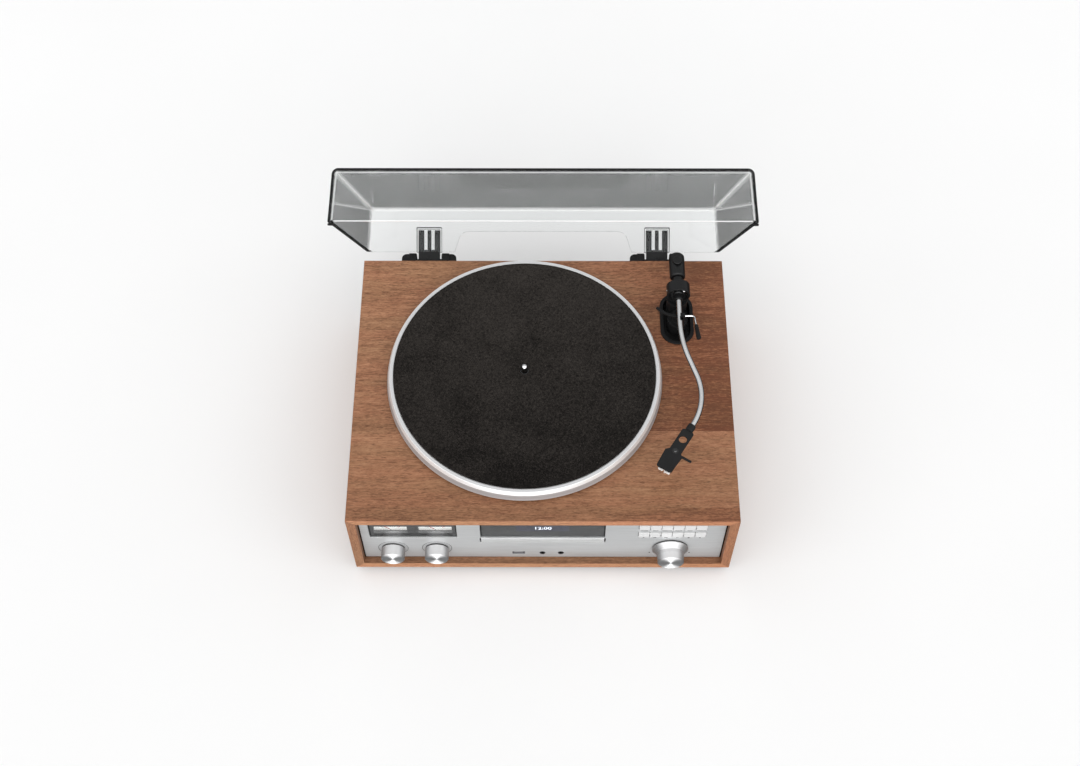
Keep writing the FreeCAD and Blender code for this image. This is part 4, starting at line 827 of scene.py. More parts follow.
# Meshes
class Form:
    """A mesh being made, in metres in the record player's own frame."""

    def __init__(self) -> None:
        """Start empty."""
        self.mesh = bmesh.new()

    @classmethod
    def copied(cls, node: str) -> "Form":
        """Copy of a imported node's mesh, with its flat faces made whole.

        Args:
            node: the node's name.

        Returns:
            The new form.
        """
        form = cls()
        form.mesh.from_mesh(bpy.data.objects[node].data)
        bmesh.ops.remove_doubles(form.mesh, verts=form.mesh.verts, dist=WELD)
        bmesh.ops.dissolve_limit(form.mesh, angle_limit=FLAT_ANGLE, verts=form.mesh.verts,
                                 edges=form.mesh.edges, delimit={"NORMAL"})
        for face in form.mesh.faces:
            face.material_index = 0
        form.mesh.normal_update()
        return form

    def lathe(self, profile: Sequence[Point], place: Matrix, sides: int = 96) -> "Form":
        """Add a turned solid.

        Args:
            profile: radius and height of each corner, from axis to axis or round in a loop.
            place: frame whose Z is the axis.
            sides: corners of each ring.

        Returns:
            This form.
        """
        rings = []
        for radius, height in profile:
            count = 1 if radius < WELD else sides
            ring = []
            for i in range(count):
                turn = 2 * math.pi * i / sides
                spot = Vector((radius * math.cos(turn), radius * math.sin(turn), height))
                ring.append(self.mesh.verts.new(place @ spot))
            rings.append(ring)
        if len(rings[0]) > 1 and len(rings[-1]) > 1:
            rings.append(rings[0])
        self.join(rings)
        return self

    def join(self, rings: Sequence[Sequence[bmesh.types.BMVert]]) -> None:
        """Span faces from each ring of corners to the next.

        Args:
            rings: the rings in order; one of a single corner makes a tip.
        """
        for low, high in zip(rings, rings[1:]):
            sides = max(len(low), len(high))
            for i in range(sides):
                j = (i + 1) % sides
                loop = (low[i % len(low)], low[j % len(low)], high[j % len(high)], high[i % len(high)])
                corners = list(dict.fromkeys(loop))
                if len(corners) > 2:
                    self.mesh.faces.new(corners)

    def slab(self, outline: Sequence[Point], depth: float, place: Matrix) -> "Form":
        """Add a plate with a straight edge.

        Args:
            outline: corners of the plate.
            depth: thickness along the frame's Z.
            place: frame that the outline lies in.

        Returns:
            This form.
        """
        low = [self.mesh.verts.new(place @ Vector((x, y, 0))) for x, y in outline]
        high = [self.mesh.verts.new(place @ Vector((x, y, depth))) for x, y in outline]
        self.mesh.faces.new(low[::-1])
        self.mesh.faces.new(high)
        self.join((low, high))
        return self

    def block(self, low: Sequence[float], high: Sequence[float]) -> "Form":
        """Add a box between two corners."""
        outline = oblong(low[0], low[1], high[0], high[1])
        return self.slab(outline, high[2] - low[2], Matrix.Translation((0, 0, low[2])))

    def lattice(self, across: Sequence[float], up: Sequence[float], holes: Iterable[tuple[int, int]],
                front: float, back: float) -> "Form":
        """Add an upright plate made of cells, some of them left open.

        Args:
            across: places of the upright lines.
            up: heights of the level lines.
            holes: column and row of each open cell.
            front: depth of the front face.
            back: depth of the back face.

        Returns:
            This form.
        """
        grid = [[self.mesh.verts.new((x, front, z)) for z in up] for x in across]
        left_out = set(holes)
        faces = []
        for i in range(len(across) - 1):
            for j in range(len(up) - 1):
                if (i, j) not in left_out:
                    loop = (grid[i][j], grid[i + 1][j], grid[i + 1][j + 1], grid[i][j + 1])
                    faces.append(self.mesh.faces.new(loop))
        made = bmesh.ops.extrude_face_region(self.mesh, geom=faces, use_keep_orig=True)
        moved = [v for v in made["geom"] if isinstance(v, bmesh.types.BMVert)]
        bmesh.ops.translate(self.mesh, verts=moved, vec=(0, back - front, 0))
        return self

    def tube(self, points: Sequence[Vector], radii: Sequence[float], sides: int = 24) -> "Form":
        """Add a round bar along a path.

        Args:
            points: the bar's centre line.
            radii: radius at each point.
            sides: corners of each ring.

        Returns:
            This form.
        """
        rings = []
        ways = [(points[min(i + 1, len(points) - 1)] - points[max(i - 1, 0)]).normalized()
                for i in range(len(points))]
        side = ways[0].orthogonal().normalized()
        for point, way, radius in zip(points, ways, radii):
            side = (side - way * side.dot(way)).normalized()
            other = way.cross(side)
            ring = []
            for i in range(sides):
                turn = 2 * math.pi * i / sides
                spot = point + (side * math.cos(turn) + other * math.sin(turn)) * radius
                ring.append(self.mesh.verts.new(spot))
            rings.append(ring)
        self.join(rings)
        self.mesh.faces.new(rings[0][::-1])
        self.mesh.faces.new(rings[-1])
        return self

    def lettered(self, words: str, height: float, place: Matrix) -> "Form":
        """Add plain figures as a thin print.

        Args:
            words: the figures.
            height: their height.
            place: frame that they lie in, centred on its origin.

        Returns:
            This form.
        """
        curve = bpy.data.curves.new("figures", "FONT")
        curve.body = words
        curve.size = height / 0.7
        curve.extrude = INK_THICKNESS / 2
        curve.align_x = "CENTER"
        curve.align_y = "CENTER"
        curve.resolution_u = 3
        carrier = bpy.data.objects.new("figures", curve)
        mesh = bpy.data.meshes.new_from_object(carrier)
        mesh.transform(place)
        self.mesh.from_mesh(mesh)
        bpy.data.objects.remove(carrier)
        bpy.data.curves.remove(curve)
        bpy.data.meshes.remove(mesh)
        return self

    def cut(self, cutter: "Form") -> "Form":
        """Take another form away from this one.

        Args:
            cutter: the closed form to take away.

        Returns:
            This form.
        """
        blank, tool = self.shaped("blank"), cutter.shaped("tool")
        modifier = blank.modifiers.new("cut", "BOOLEAN")
        modifier.operation = "DIFFERENCE"
        modifier.solver = "EXACT"
        modifier.object = tool
        bpy.context.view_layer.update()
        result = bpy.data.meshes.new_from_object(blank.evaluated_get(bpy.context.evaluated_depsgraph_get()))
        self.mesh.clear()
        self.mesh.from_mesh(result)
        bpy.data.meshes.remove(result)
        for item in (blank, tool):
            mesh = item.data
            bpy.data.objects.remove(item)
            bpy.data.meshes.remove(mesh)
        return self

    def eased(self, width: float, segments: int = 2,
              keep: Callable[[bmesh.types.BMEdge], bool] | None = None) -> "Form":
        """Round off the form's corners.

        Args:
            width: how far the rounding reaches on each face.
            segments: facets across the rounding.
            keep: test that an edge must pass; every sharp edge if left out.

        Returns:
            This form.
        """
        edges = []
        for edge in self.mesh.edges:
            if edge.is_manifold and edge.calc_face_angle(0) > CORNER_ANGLE and (keep is None or keep(edge)):
                edges.append(edge)
        bmesh.ops.bevel(self.mesh, geom=edges, offset=width, offset_type="OFFSET", segments=segments,
                        profile=0.5, affect="EDGES", clamp_overlap=False, material=-1)
        return self

    def painted(self, number: int, test: Callable[[Vector, Vector], bool]) -> "Form":
        """Give a material number to the faces that pass a test.

        Args:
            number: the material number.
            test: test of a face's middle and normal.

        Returns:
            This form.
        """
        self.mesh.normal_update()
        for face in self.mesh.faces:
            if test(face.calc_center_median(), face.normal):
                face.material_index = number
        return self

    def painted_corners(self, number: int, test: Callable[[Vector], bool]) -> None:
        """Give a material number to the faces whose every corner passes a test.

        Args:
            number: the material number.
            test: test of a corner's place.
        """
        for face in self.mesh.faces:
            if all(test(vert.co) for vert in face.verts):
                face.material_index = number

    def parted(self, point: Sequence[float], normal: Sequence[float]) -> None:
        """Split every face that crosses a plane.

        Args:
            point: a point on the plane.
            normal: the plane's normal.
        """
        everything = self.mesh.verts[:] + self.mesh.edges[:] + self.mesh.faces[:]
        bmesh.ops.bisect_plane(self.mesh, geom=everything, plane_co=point, plane_no=normal)

    def shaped(self, name: str) -> bpy.types.Object:
        """Turn the form into an object with smooth faces and crisp corners.

        Args:
            name: the object's name.

        Returns:
            The object.
        """
        bmesh.ops.recalc_face_normals(self.mesh, faces=self.mesh.faces)
        mesh = bpy.data.meshes.new(name)
        self.mesh.to_mesh(mesh)
        mesh.polygons.foreach_set("use_smooth", [True] * len(mesh.polygons))
        mesh.set_sharp_from_angle(angle=SHARP_ANGLE)
        made = bpy.data.objects.new(name, mesh)
        bpy.context.scene.collection.objects.link(made)
        return made


# Sub-assemblies
@dataclass
class SubAssembly:
    """A group of pieces that are built and dressed together."""

    body: ClassVar[str] = "cabinet"
    pivots: dict[str, Vector] = field(default_factory=dict)
    ease: float = 0.0003
    pieces: dict[str, bpy.types.Object] = field(default_factory=dict, init=False)

    def build(self) -> None:
        """Make the meshes."""

    def dress(self) -> None:
        """Give the finishes."""

    def add(self, name: str, form: Form, slot: str, replaces: Sequence[str] = (), body: str = "",
            weighted: bool = True) -> bpy.types.Object:
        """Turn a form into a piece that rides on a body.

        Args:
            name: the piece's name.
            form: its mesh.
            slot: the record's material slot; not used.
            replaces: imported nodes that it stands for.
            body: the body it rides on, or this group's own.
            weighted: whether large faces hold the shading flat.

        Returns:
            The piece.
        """
        piece = form.shaped(name)
        if weighted:
            modifier = piece.modifiers.new("flat_faces", "WEIGHTED_NORMAL")
            modifier.keep_sharp = True
        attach(piece, body or self.body)
        if replaces:
            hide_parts(*replaces)
        self.pieces[name] = piece
        return piece

    def finished(self, node: str, slot: str, body: str = "", ease: float = 0.0) -> None:
        """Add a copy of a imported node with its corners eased.

        Args:
            node: the node's name.
            slot: the record's material slot.
            body: the body it rides on, or this group's own.
            ease: width of the rounding, or this group's own.
        """
        form = Form.copied(node).eased(ease or self.ease)
        self.add(node + "_finished", form, slot, (node,), body)

    def paint(self, name: str, *finishes: Finish) -> None:
        """Put finishes on one of this group's pieces, in the order of its material numbers."""
        for finish in finishes:
            self.pieces[name].data.materials.append(finish.material())

    def paint_node(self, node: str, finish: Finish) -> None:
        """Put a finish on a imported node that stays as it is.

        Args:
            node: the node's name.
            finish: the finish.
        """
        materials = bpy.data.objects[node].data.materials
        materials.clear()
        materials.append(finish.material())


@dataclass
class Cabinet(SubAssembly):
    """Four mitred walnut boards on rubber feet."""

    corner_round: float = 0.0009
    edge_ease: float = 0.0005
    foot_radius: float = 0.015
    foot_ease: float = 0.0009
    foot_dish: float = 0.5
    foot_tread: float = 0.62
    foot_taper: float = 0.0012
    foot_recess: float = 0.0015
    tub_inset: float = 0.0026

    def outline(self, start: Vector, end: Vector, inward: Vector, thick: float) -> list[Point]:
        """Mitred section of a board, with half of each rounded corner.

        Args:
            start: first outer corner.
            end: second outer corner.
            inward: direction from the outer face into the board.
            thick: the board's thickness.

        Returns:
            The section's outline.
        """
        along = (end - start).normalized()
        r = self.corner_round
        turns = [math.radians(45 - 15 * i) for i in range(4)]
        near = start + (along + inward) * r
        far = end + (inward - along) * r
        points = [near - (inward * math.cos(t) + along * math.sin(t)) * r for t in turns]
        points += [far - (inward * math.cos(t) - along * math.sin(t)) * r for t in reversed(turns)]
        points += [end + (inward - along) * thick, start + (inward + along) * thick]
        return [(p.x, p.y) for p in points]

    def board(self, outline: Sequence[Point], front: float, rear: float) -> Form:
        """Board along the depth of the case, with its end edges eased but not its mitres.

        Args:
            outline: section of the board.
            front: where the board starts.
            rear: where it ends.

        Returns:
            The board's form.
        """
        place = Matrix.Translation((0, rear, 0)) @ Matrix.Rotation(math.pi / 2, 4, "X")
        form = Form().slab(outline, rear - front, place)

        def keep(edge: bmesh.types.BMEdge) -> bool:
            """True for an end edge that isn't on a mitre.

            Args:
                edge: the edge.

            Returns:
                Whether it is eased.
            """
            run = edge.verts[1].co - edge.verts[0].co
            mitre = abs(abs(run.x) - abs(run.z)) < WELD and run.length > 5 * self.corner_round
            return abs(run.y) < WELD and not mitre

        return form.eased(self.edge_ease, 2, keep)

    def build(self) -> None:
        """Boards with a rebate for the rear panel and a hole for the arm's tub, then feet."""
        low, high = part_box("top_board")
        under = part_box("base_board")[0].z
        thick = high.z - low.z
        panel_low, panel_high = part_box("rear_panel")
        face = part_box("fascia")[0].y
        top_left, top_right = Vector((low.x, high.z)), Vector((high.x, high.z))
        base_left, base_right = Vector((low.x, under)), Vector((high.x, under))
        right, up = Vector((1, 0)), Vector((0, 1))
        plans = {
            "top_panel": (top_left, top_right, -up, "top_board"),
            "base_panel": (base_right, base_left, up, "base_board"),
            "left_panel": (base_left, top_left, right, "side_boards"),
            "right_panel": (top_right, base_right, -right, "side_boards"),
        }
        for name, (start, end, inward, node) in plans.items():
            outline = self.outline(start, end, inward, thick)
            form = self.board(outline, low.y, high.y)
            form.cut(Form().block(panel_low, panel_high + Vector((0, thick, 0))))
            if name == "top_panel":
                form.cut(self.tub_hole(low.z - thick, high.z + thick))
            form.parted((0, face, 0), (0, 1, 0))
            towards = Vector((inward.x, 0, inward.y))
            # front faces take the lighter walnut, as painted light
            form.painted(1, lambda middle, normal: normal.y < -0.5)
            # inner faces take the darker walnut, as painted shade
            form.painted(2, lambda middle, normal: normal.dot(towards) > 0.9)
            # inner faces behind the fascia take near-black painted shade
            form.painted(3, lambda middle, normal: normal.dot(towards) > 0.9 and middle.y > face)
            self.add(name, form, "walnut", (node,), weighted=False)
        self.add("feet", self.feet(), "foot_rubber", ("rubber_feet",))

    def tub_hole(self, low: float, high: float) -> Form:
        """Round-ended hole for the tonearm's tub.

        Args:
            low: where the hole starts.
            high: where it ends.

        Returns:
            The hole's form.
        """
        rim_low, rim_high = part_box("arm_base")
        middle = middle_of("arm_base")
        radius = (rim_high.x - rim_low.x) / 2
        straight = (rim_high.y - rim_low.y) / 2 - radius
        ring = arc((middle.x, middle.y + straight), radius - self.tub_inset, 0, 180, 24)
        ring += arc((middle.x, middle.y - straight), radius - self.tub_inset, 180, 360, 24)
        return Form().slab(ring, high - low, Matrix.Translation((0, 0, low)))

    def feet(self) -> Form:
        """Four round feet with a shallow dish below.

        Returns:
            The feet's form.
        """
        low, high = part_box("rubber_feet")
        radius = self.foot_radius
        height = high.z - low.z
        profile = [(0, self.foot_recess), (self.foot_dish * radius, self.foot_recess),
                   (self.foot_tread * radius, 0), (radius - self.foot_taper, 0), (radius, height),
                   (0, height)]
        profile = rounded(profile, self.foot_ease, 3, closed=False)
        form = Form()
        for x in (low.x + radius, high.x - radius):
            for y in (low.y + radius, high.y - radius):
                form.lathe(profile, Matrix.Translation((x, y, low.z)), 48)
        return form

    def dress(self) -> None:
        """Grain along the boards, front faces paler as painted light, inner faces darker as painted shade.
        """
        for name in ("top_panel", "base_panel"):
            self.paint(name, WALNUT_TOP, EDGE_ACROSS_PAINTED_LIGHT, WALNUT_INSIDE_PAINTED_SHADE, INSIDE_PAINTED_SHADE)
        for name in ("left_panel", "right_panel"):
            self.paint(name, WALNUT_SIDE, EDGE_UPRIGHT_PAINTED_LIGHT, WALNUT_INSIDE_PAINTED_SHADE, INSIDE_PAINTED_SHADE)
        self.paint("feet", RUBBER_BLACK)


@dataclass
class RearPanel(SubAssembly):
    """Rear panel with the mains inlet, terminals and screws."""

    cap_height: float = 0.05
    terminal_count: int = 4

    def build(self) -> None:
        """Eased copies, with every second terminal red."""
        self.finished("rear_panel", "panel_black")
        self.finished("mains_inlet", "socket_black")
        self.finished("case_screws", "screw_steel")
        low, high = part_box("rear_terminals")
        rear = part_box("rear_panel")[1].y
        pitch = (high.x - low.x) / self.terminal_count
        form = Form.copied("rear_terminals")
        form.painted(1, lambda middle, normal: middle.z > self.cap_height and middle.y > rear - WELD)
        form.painted(2, lambda middle, normal: middle.z > self.cap_height and middle.y > rear - WELD
                     and int((middle.x - low.x) / pitch) % 2 == 0)
        form.eased(self.ease)
        self.add("terminals_and_line_sockets", form, "terminal_brass", ("rear_terminals",))

    def dress(self) -> None:
        """Textured black panel, steel screws, plated sockets."""
        self.paint("rear_panel_finished", PANEL_BLACK)
        self.paint("mains_inlet_finished", MOULDED_BLACK)
        self.paint("case_screws_finished", STEEL)
        self.paint("terminals_and_line_sockets", BRASS, MOULDED_BLACK, RED_PLASTIC)


@dataclass
class FrontPanel(SubAssembly):
    """Brushed fascia with its sockets and printed marks."""

    ease: float = 0.00018
    groove_inner: float = 0.0158
    groove_outer: float = 0.0169
    usb_width: float = 0.0141
    tongue_back: float = 0.0008
    tongue_depth: float = 0.008
    tongue_half_width: float = 0.0052
    tongue_half_height: float = 0.0009
    dot_radius: float = 0.0009
    dot_from_knob: float = 0.0222
    dot_below_knob: float = 0.0135
    mark_size: float = 0.0011
    mark_drop: float = 0.0037
    lip: float = 0.0012
    dash: float = 0.00045
    dash_half: float = 0.0052
    dash_step: float = 0.0012

    def build(self) -> None:
        """Fascia, sockets and marks."""
        knobs = [middle_of("tone_knob_left"), middle_of("tone_knob_right")]
        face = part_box("fascia")[0].y
        form = Form.copied("fascia")

        def on_ring(spot: Vector) -> bool:
            """True for a corner of the thin ring cut round a tone knob."""
            radii = (math.hypot(spot.x - knob.x, spot.z - knob.z) for knob in knobs)
            return any(self.groove_inner < radius < self.groove_outer for radius in radii)

        # the ring groove round each tone knob takes painted shade
        form.painted_corners(1, on_ring)
        form.eased(self.ease, 2, lambda edge: not all(on_ring(vert.co) for vert in edge.verts))
        self.add("fascia_finished", form, "fascia_silver", ("fascia",))

        sockets = Form.copied("front_sockets")
        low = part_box("front_sockets")[0]
        sockets.painted(1, lambda middle, normal: middle.x < low.x + self.usb_width + WELD)
        sockets.eased(self.ease)
        self.add("front_sockets_finished", sockets, "socket_black", ("front_sockets",))
        slot = Vector((low.x + self.usb_width / 2, face + self.tongue_back, middle_of("front_sockets").z))
        half = Vector((self.tongue_half_width, 0, self.tongue_half_height))
        tongue = Form().block(slot - half, slot + half + Vector((0, self.tongue_depth, 0))).eased(self.ease)
        self.add("usb_tongue", tongue, "socket_black")
        self.add("panel_marks", self.marks(face), "needle_black")

    def marks(self, face: float) -> Form:
        """Dots beside the volume knob, plain dashes and signs under the buttons.

        Args:
            face: depth of the fascia's face.

        Returns:
            The print's form.
        """
        form = Form()
        knob = middle_of("volume_knob")
        disc = arc((0, 0), self.dot_radius, 0, 345, 23)
        for side in (-1, 1):
            spot = front_frame(knob.x + side * self.dot_from_knob, face, knob.z - self.dot_below_knob)
            form.slab(disc, INK_THICKNESS, spot)
        for number, mark in enumerate(Mark, 1):
            half = self.dash_half - self.dash_step * (number % 3)
            dash = [oblong(-half, -self.dash, half, self.dash)]
            for row, outlines in (("upper", dash), ("lower", self.sign(mark))):
                node = "button_%s_%d" % (row, number)
                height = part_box(node)[0].z + self.lip - self.mark_drop
                for outline in outlines:
                    form.slab(outline, INK_THICKNESS, front_frame(middle_of(node).x, face, height))
        return form

    def sign(self, mark: Mark) -> list[list[Point]]:
        """Outlines of one transport sign.

        Args:
            mark: which sign.

        Returns:
            Its outlines round the origin.
        """
        s = self.mark_size
        play = [(-0.6 * s, -s), (s, 0), (-0.6 * s, s)]
        bar = oblong(-0.3 * s, -s, 0.3 * s, s)

        def shifted(outline: list[Point], across: float, flip: float = 1.0) -> list[Point]:
            """Outline moved sideways, mirrored if flip is -1."""
            moved = [(flip * x + across, y) for x, y in outline]
            return moved if flip > 0 else moved[::-1]

        signs = {
            Mark.PLAY: [play],
            Mark.BACK: [shifted(play, -0.8 * s, -1), shifted(play, 0.9 * s, -1)],
            Mark.NEXT: [shifted(play, -0.9 * s), shifted(play, 0.8 * s)],
            Mark.PAUSE: [shifted(bar, -0.6 * s), shifted(bar, 0.6 * s)],
            Mark.STOP: [oblong(-s, -s, s, s)],
            Mark.EJECT: [[(-s, -0.2 * s), (s, -0.2 * s), (0, s)], oblong(-s, -s, s, -0.5 * s)],
        }
        return signs[mark]

    def dress(self) -> None:
        """Silver panel with painted shade in its grooves, black jacks, a grey shell round the flat socket.
        """
        self.paint("fascia_finished", FASCIA_SILVER, RECESS_PAINTED_SHADE)
        self.paint("front_sockets_finished", MOULDED_BLACK, DRIVE_GREY)
        self.paint("usb_tongue", TONGUE_GREY)
        self.paint("panel_marks", INK_AND_PAINTED_SHADE_BLACK)


@dataclass
class FrontWindow(SubAssembly):
    """Window in the front panel: a clear pane with a dark film behind it."""

    film: float = 0.00015
    ease: float = 0.0002
    corner: float = 0.00135
    border: float = 0.0014

    def glaze(self, name: str, node: str) -> float:
        """Add the pane, with its lower corners rounded.

        Args:
            name: the piece's name.
            node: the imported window.

        Returns:
            Depth of the pane's back.
        """
        low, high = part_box(node)
        back = high.y - self.film
        r = self.corner
        outline = [(high.x, high.z), (low.x, high.z)]
        outline += arc((low.x + r, low.z + r), r, 180, 270, 6)
        outline += arc((high.x - r, low.z + r), r, 270, 360, 6)
        pane = Form().slab(outline, back - low.y, front_frame(0, back, 0)).eased(self.ease)
        self.add(name, pane, "window_dark", (node,))
        return back

    def screen(self, name: str, across: Sequence[float], up: Sequence[float],
               holes: Iterable[tuple[int, int]], depths: Point) -> None:
        """Add the film, with a black border at both ends.

        Args:
            name: the piece's name.
            across: places of its upright lines.
            up: heights of its level lines.
            holes: column and row of each opening.
            depths: depth of its front face and of its back face.
        """
        film = Form().lattice(across, up, holes, *depths)
        film.painted(1, lambda middle, normal: not across[1] < middle.x < across[-2])
        self.add(name, film, "window_dark", weighted=False)


@dataclass
class LevelMeters(FrontWindow):
    """Two needle meters behind one window."""

    dial_depth: float = 0.0003
    frame_cover: float = 0.0006
    opening_top: float = 0.0232
    card_front: float = 0.0022
    card_foot: float = 0.0012
    foot_height: float = 0.0006
    hub_radius: float = 0.0018
    hub_room: float = 0.0002
    hub_skin: float = 0.0001
    hole_reach: float = 0.004
    blade_front: float = 0.00035
    blade_back: float = 0.0001
    scale_radius: float = 0.0108
    scale_half_angle: float = 58.0
    red_from: float = 14.0
    line_width: float = 0.0003
    tick_length: float = 0.0018
    tick_count: int = 11
    red_width: float = 3.2
    figure_height: float = 0.0015
    figures: tuple[str, ...] = ("20", "10", "5", "3", "0", "3")

    def build(self) -> None:
        """Window, mask, meter bodies, printed dials and needles."""
        low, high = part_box("meter_window")
        back = self.glaze("meter_pane", "meter_window")
        body_low, body_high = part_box("meter_bodies")
        pivots = [self.pivots["meter_left"], self.pivots["meter_right"]]
        half = min(p.x for p in pivots) - body_low.x - self.frame_cover
        across = [low.x, low.x + self.border]
        for pivot in pivots:
            across += [pivot.x - half, pivot.x + half]
        across += [high.x - self.border, high.x]
        up = [low.z, body_low.z + self.frame_cover, low.z + self.opening_top, high.z]
        self.screen("meter_mask", across, up, [(2, 1), (4, 1)], (back, high.y))

        bodies = Form.copied("meter_bodies")
        to_front = [face for face in bodies.mesh.faces if face.normal.y < -0.9]
        dial_y = max(to_front, key=lambda face: face.calc_area()).calc_center_median().y
        bodies.painted(1, lambda middle, normal: normal.y < -0.9
                       and abs(middle.y - dial_y) < self.dial_depth)
        bodies.eased(self.ease)
        self.add("meter_bodies_finished", bodies, "meter_white", ("meter_bodies",))
        card_y = dial_y - self.card_front
        cards, holes, grey, red = Form(), Form(), Form(), Form()
        hole, reach = self.hub_radius + self.hub_room, self.hole_reach
        bore = [(0, -reach), (hole, -reach), (hole, reach), (0, reach)]
        for pivot in pivots:
            left, right = pivot.x - half, pivot.x + half
            cards.block((left, card_y, up[1]), (right, dial_y, body_high.z - self.frame_cover))
            cards.block((left, card_y - self.card_foot, up[1]), (right, card_y, up[1] + self.foot_height))
            centre = Vector((pivot.x, card_y, pivot.z))
            holes.lathe(bore, front_frame(*centre), 48)
            self.scale(grey, red, centre)
        self.add("dial_cards", cards.cut(holes), "meter_white", weighted=False)
        self.add("dial_scales", grey, "needle_black", weighted=False)
        self.add("dial_red_zones", red, "needle_black", weighted=False)
        for side, pivot in zip(("left", "right"), pivots):
            needle = self.needle("needle_" + side, pivot, card_y)
            self.add("needle_%s_finished" % side, needle, "needle_black", ("needle_" + side,),
                     "meter_needle_" + side, weighted=False)

    def needle(self, node: str, pivot: Vector, card: float) -> Form:
        """Copy of a needle whose blade lies just in front of the dial's card.

        Args:
            node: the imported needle.
            pivot: its pivot.
            card: depth of the card's face.

        Returns:
            The needle's form.
        """
        form = Form.copied(node)
        low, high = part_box(node)
        front, back = low.y + self.hub_skin, high.y - self.hub_skin
        blade = [vert for vert in form.mesh.verts if front < vert.co.y < back]
        middle = sum(vert.co.y for vert in blade) / len(blade)
        for vert in blade:
            vert.co.y = card - (self.blade_front if vert.co.y < middle else self.blade_back)
        reach = self.hub_radius + self.hub_room
        return form.painted(1, lambda spot, normal: math.hypot(spot.x - pivot.x, spot.z - pivot.z) < reach)

    def scale(self, grey: Form, red: Form, centre: Vector) -> None:
        """Print one dial's arc, ticks and figures.

        Args:
            grey: form that takes the grey print.
            red: form that takes the red print.
            centre: the needle's pivot on the dial's face.
        """
        place = front_frame(*centre)
        r = self.scale_radius

        def band(form: Form, start: float, end: float, inner: float, outer: float) -> None:
            """Add a stretch of a ring, with its angles counted from the top to the right.

            Args:
                form: form that takes it.
                start: first angle in degrees.
                end: last angle in degrees.
                inner: inner radius.
                outer: outer radius.
            """
            steps = max(2, int(abs(end - start) / 3))
            ring = arc((0, 0), outer, 90 - end, 90 - start, steps)
            ring += arc((0, 0), inner, 90 - start, 90 - end, steps)
            form.slab(ring, INK_THICKNESS, place)

        band(grey, -self.scale_half_angle, self.red_from, r, r + self.line_width)
        band(red, self.red_from, self.scale_half_angle, r, r + self.red_width * self.line_width)
        for i in range(self.tick_count):
            angle = self.scale_half_angle * (2 * i / (self.tick_count - 1) - 1)
            length = self.tick_length * (1.0 if i % 2 == 0 else 0.6)
            width = math.degrees(self.line_width / r)
            form = red if angle > self.red_from else grey
            band(form, angle - width / 2, angle + width / 2, r + 0.8 * self.line_width, r + length)
        reach = r - 0.9 * self.figure_height
        last = len(self.figures) - 1
        for i, words in enumerate(self.figures):
            angle = math.radians(self.scale_half_angle * (2 * i / last - 1))
            across, up = reach * math.sin(angle), reach * math.cos(angle)
            spot = place @ Matrix.Translation((across, up, INK_THICKNESS / 2))
            (red if i == last else grey).lettered(words, self.figure_height, spot)

    def dress(self) -> None:
        """Clear pane over a dark mask, glowing white dials with grey and red print; the dials' glow is
        partly painted light.
        """
        self.paint("meter_pane", WINDOW_PANE)
        self.paint("meter_mask", MASK_GREY, MASK_BLACK)
        self.paint("meter_bodies_finished", METER_GREY, DIAL_CARD)
        self.paint("dial_cards", DIAL_LIT)
        self.paint("dial_scales", INK_GREY)
        self.paint("dial_red_zones", INK_RED)
        for side in ("left", "right"):
            self.paint("needle_%s_finished" % side, INK_RED, DIAL_LIT)


@dataclass
class DisplayWindow(FrontWindow):
    """Dark display window with a lit panel and plain figures."""

    lit_half_width: float = 0.029
    lit_low: float = 0.0121
    lit_high: float = 0.0264
    digit_height: float = 0.0062
    figures: str = "12:00"

    def build(self) -> None:
        """Pane, dark film with the lit panel in its middle, and figures."""
        low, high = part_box("display_window")
        back = self.glaze("display_pane", "display_window")
        half = self.lit_half_width
        across = [low.x, low.x + self.border, -half, half, high.x - self.border, high.x]
        up = [low.z, low.z + self.lit_low, low.z + self.lit_high, high.z]
        self.screen("display_film", across, up, [(2, 1)], (back, high.y))
        lit = Form().lattice(across[2:4], up[1:3], [], back + INK_THICKNESS, high.y)
        self.add("display_lit_panel", lit, "display_dark", weighted=False)
        place = front_frame(0, back + INK_THICKNESS / 2, (up[1] + up[2]) / 2)
        digits = Form().lettered(self.figures, self.digit_height, place)
        self.add("display_digits", digits, "display_dark", weighted=False)

    def dress(self) -> None:
        """Polished pane over a grey film, with a lit panel in its middle."""
        self.paint("display_pane", WINDOW_PANE)
        self.paint("display_film", MASK_GREY, MASK_BLACK)
        self.paint("display_lit_panel", PANEL_GLOW)
        self.paint("display_digits", DIGIT_GLOW)
        self.paint_node("display_module", DRIVE_GREY)


@dataclass
class DiscDrive(SubAssembly):
    """Disc tray with a silver front, in its chassis."""

    ease: float = 0.0005
    front_depth: float = 0.0037
    end_gap: float = 0.0011
    bed_overlap: float = 0.0002

    def build(self) -> None:
        """Eased tray with a black bed, its front strip a little shorter at both ends."""
        low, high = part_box("cd_tray")
        bed = low.y + self.front_depth
        form = Form.copied("cd_tray")
        form.painted(1, lambda middle, normal: middle.y > bed - self.bed_overlap)
        for vert in form.mesh.verts:
            if vert.co.y < bed:
                vert.co.x = max(low.x + self.end_gap, min(high.x - self.end_gap, vert.co.x))
        form.eased(self.ease)
        self.add("cd_tray_finished", form, "button_silver", ("cd_tray",), "tray")

    def dress(self) -> None:
        """Silver strip, black bed, grey chassis."""
        self.paint("cd_tray_finished", TRAY_SILVER, TRAY_BLACK)
        self.paint_node("cd_drive", DRIVE_GREY)


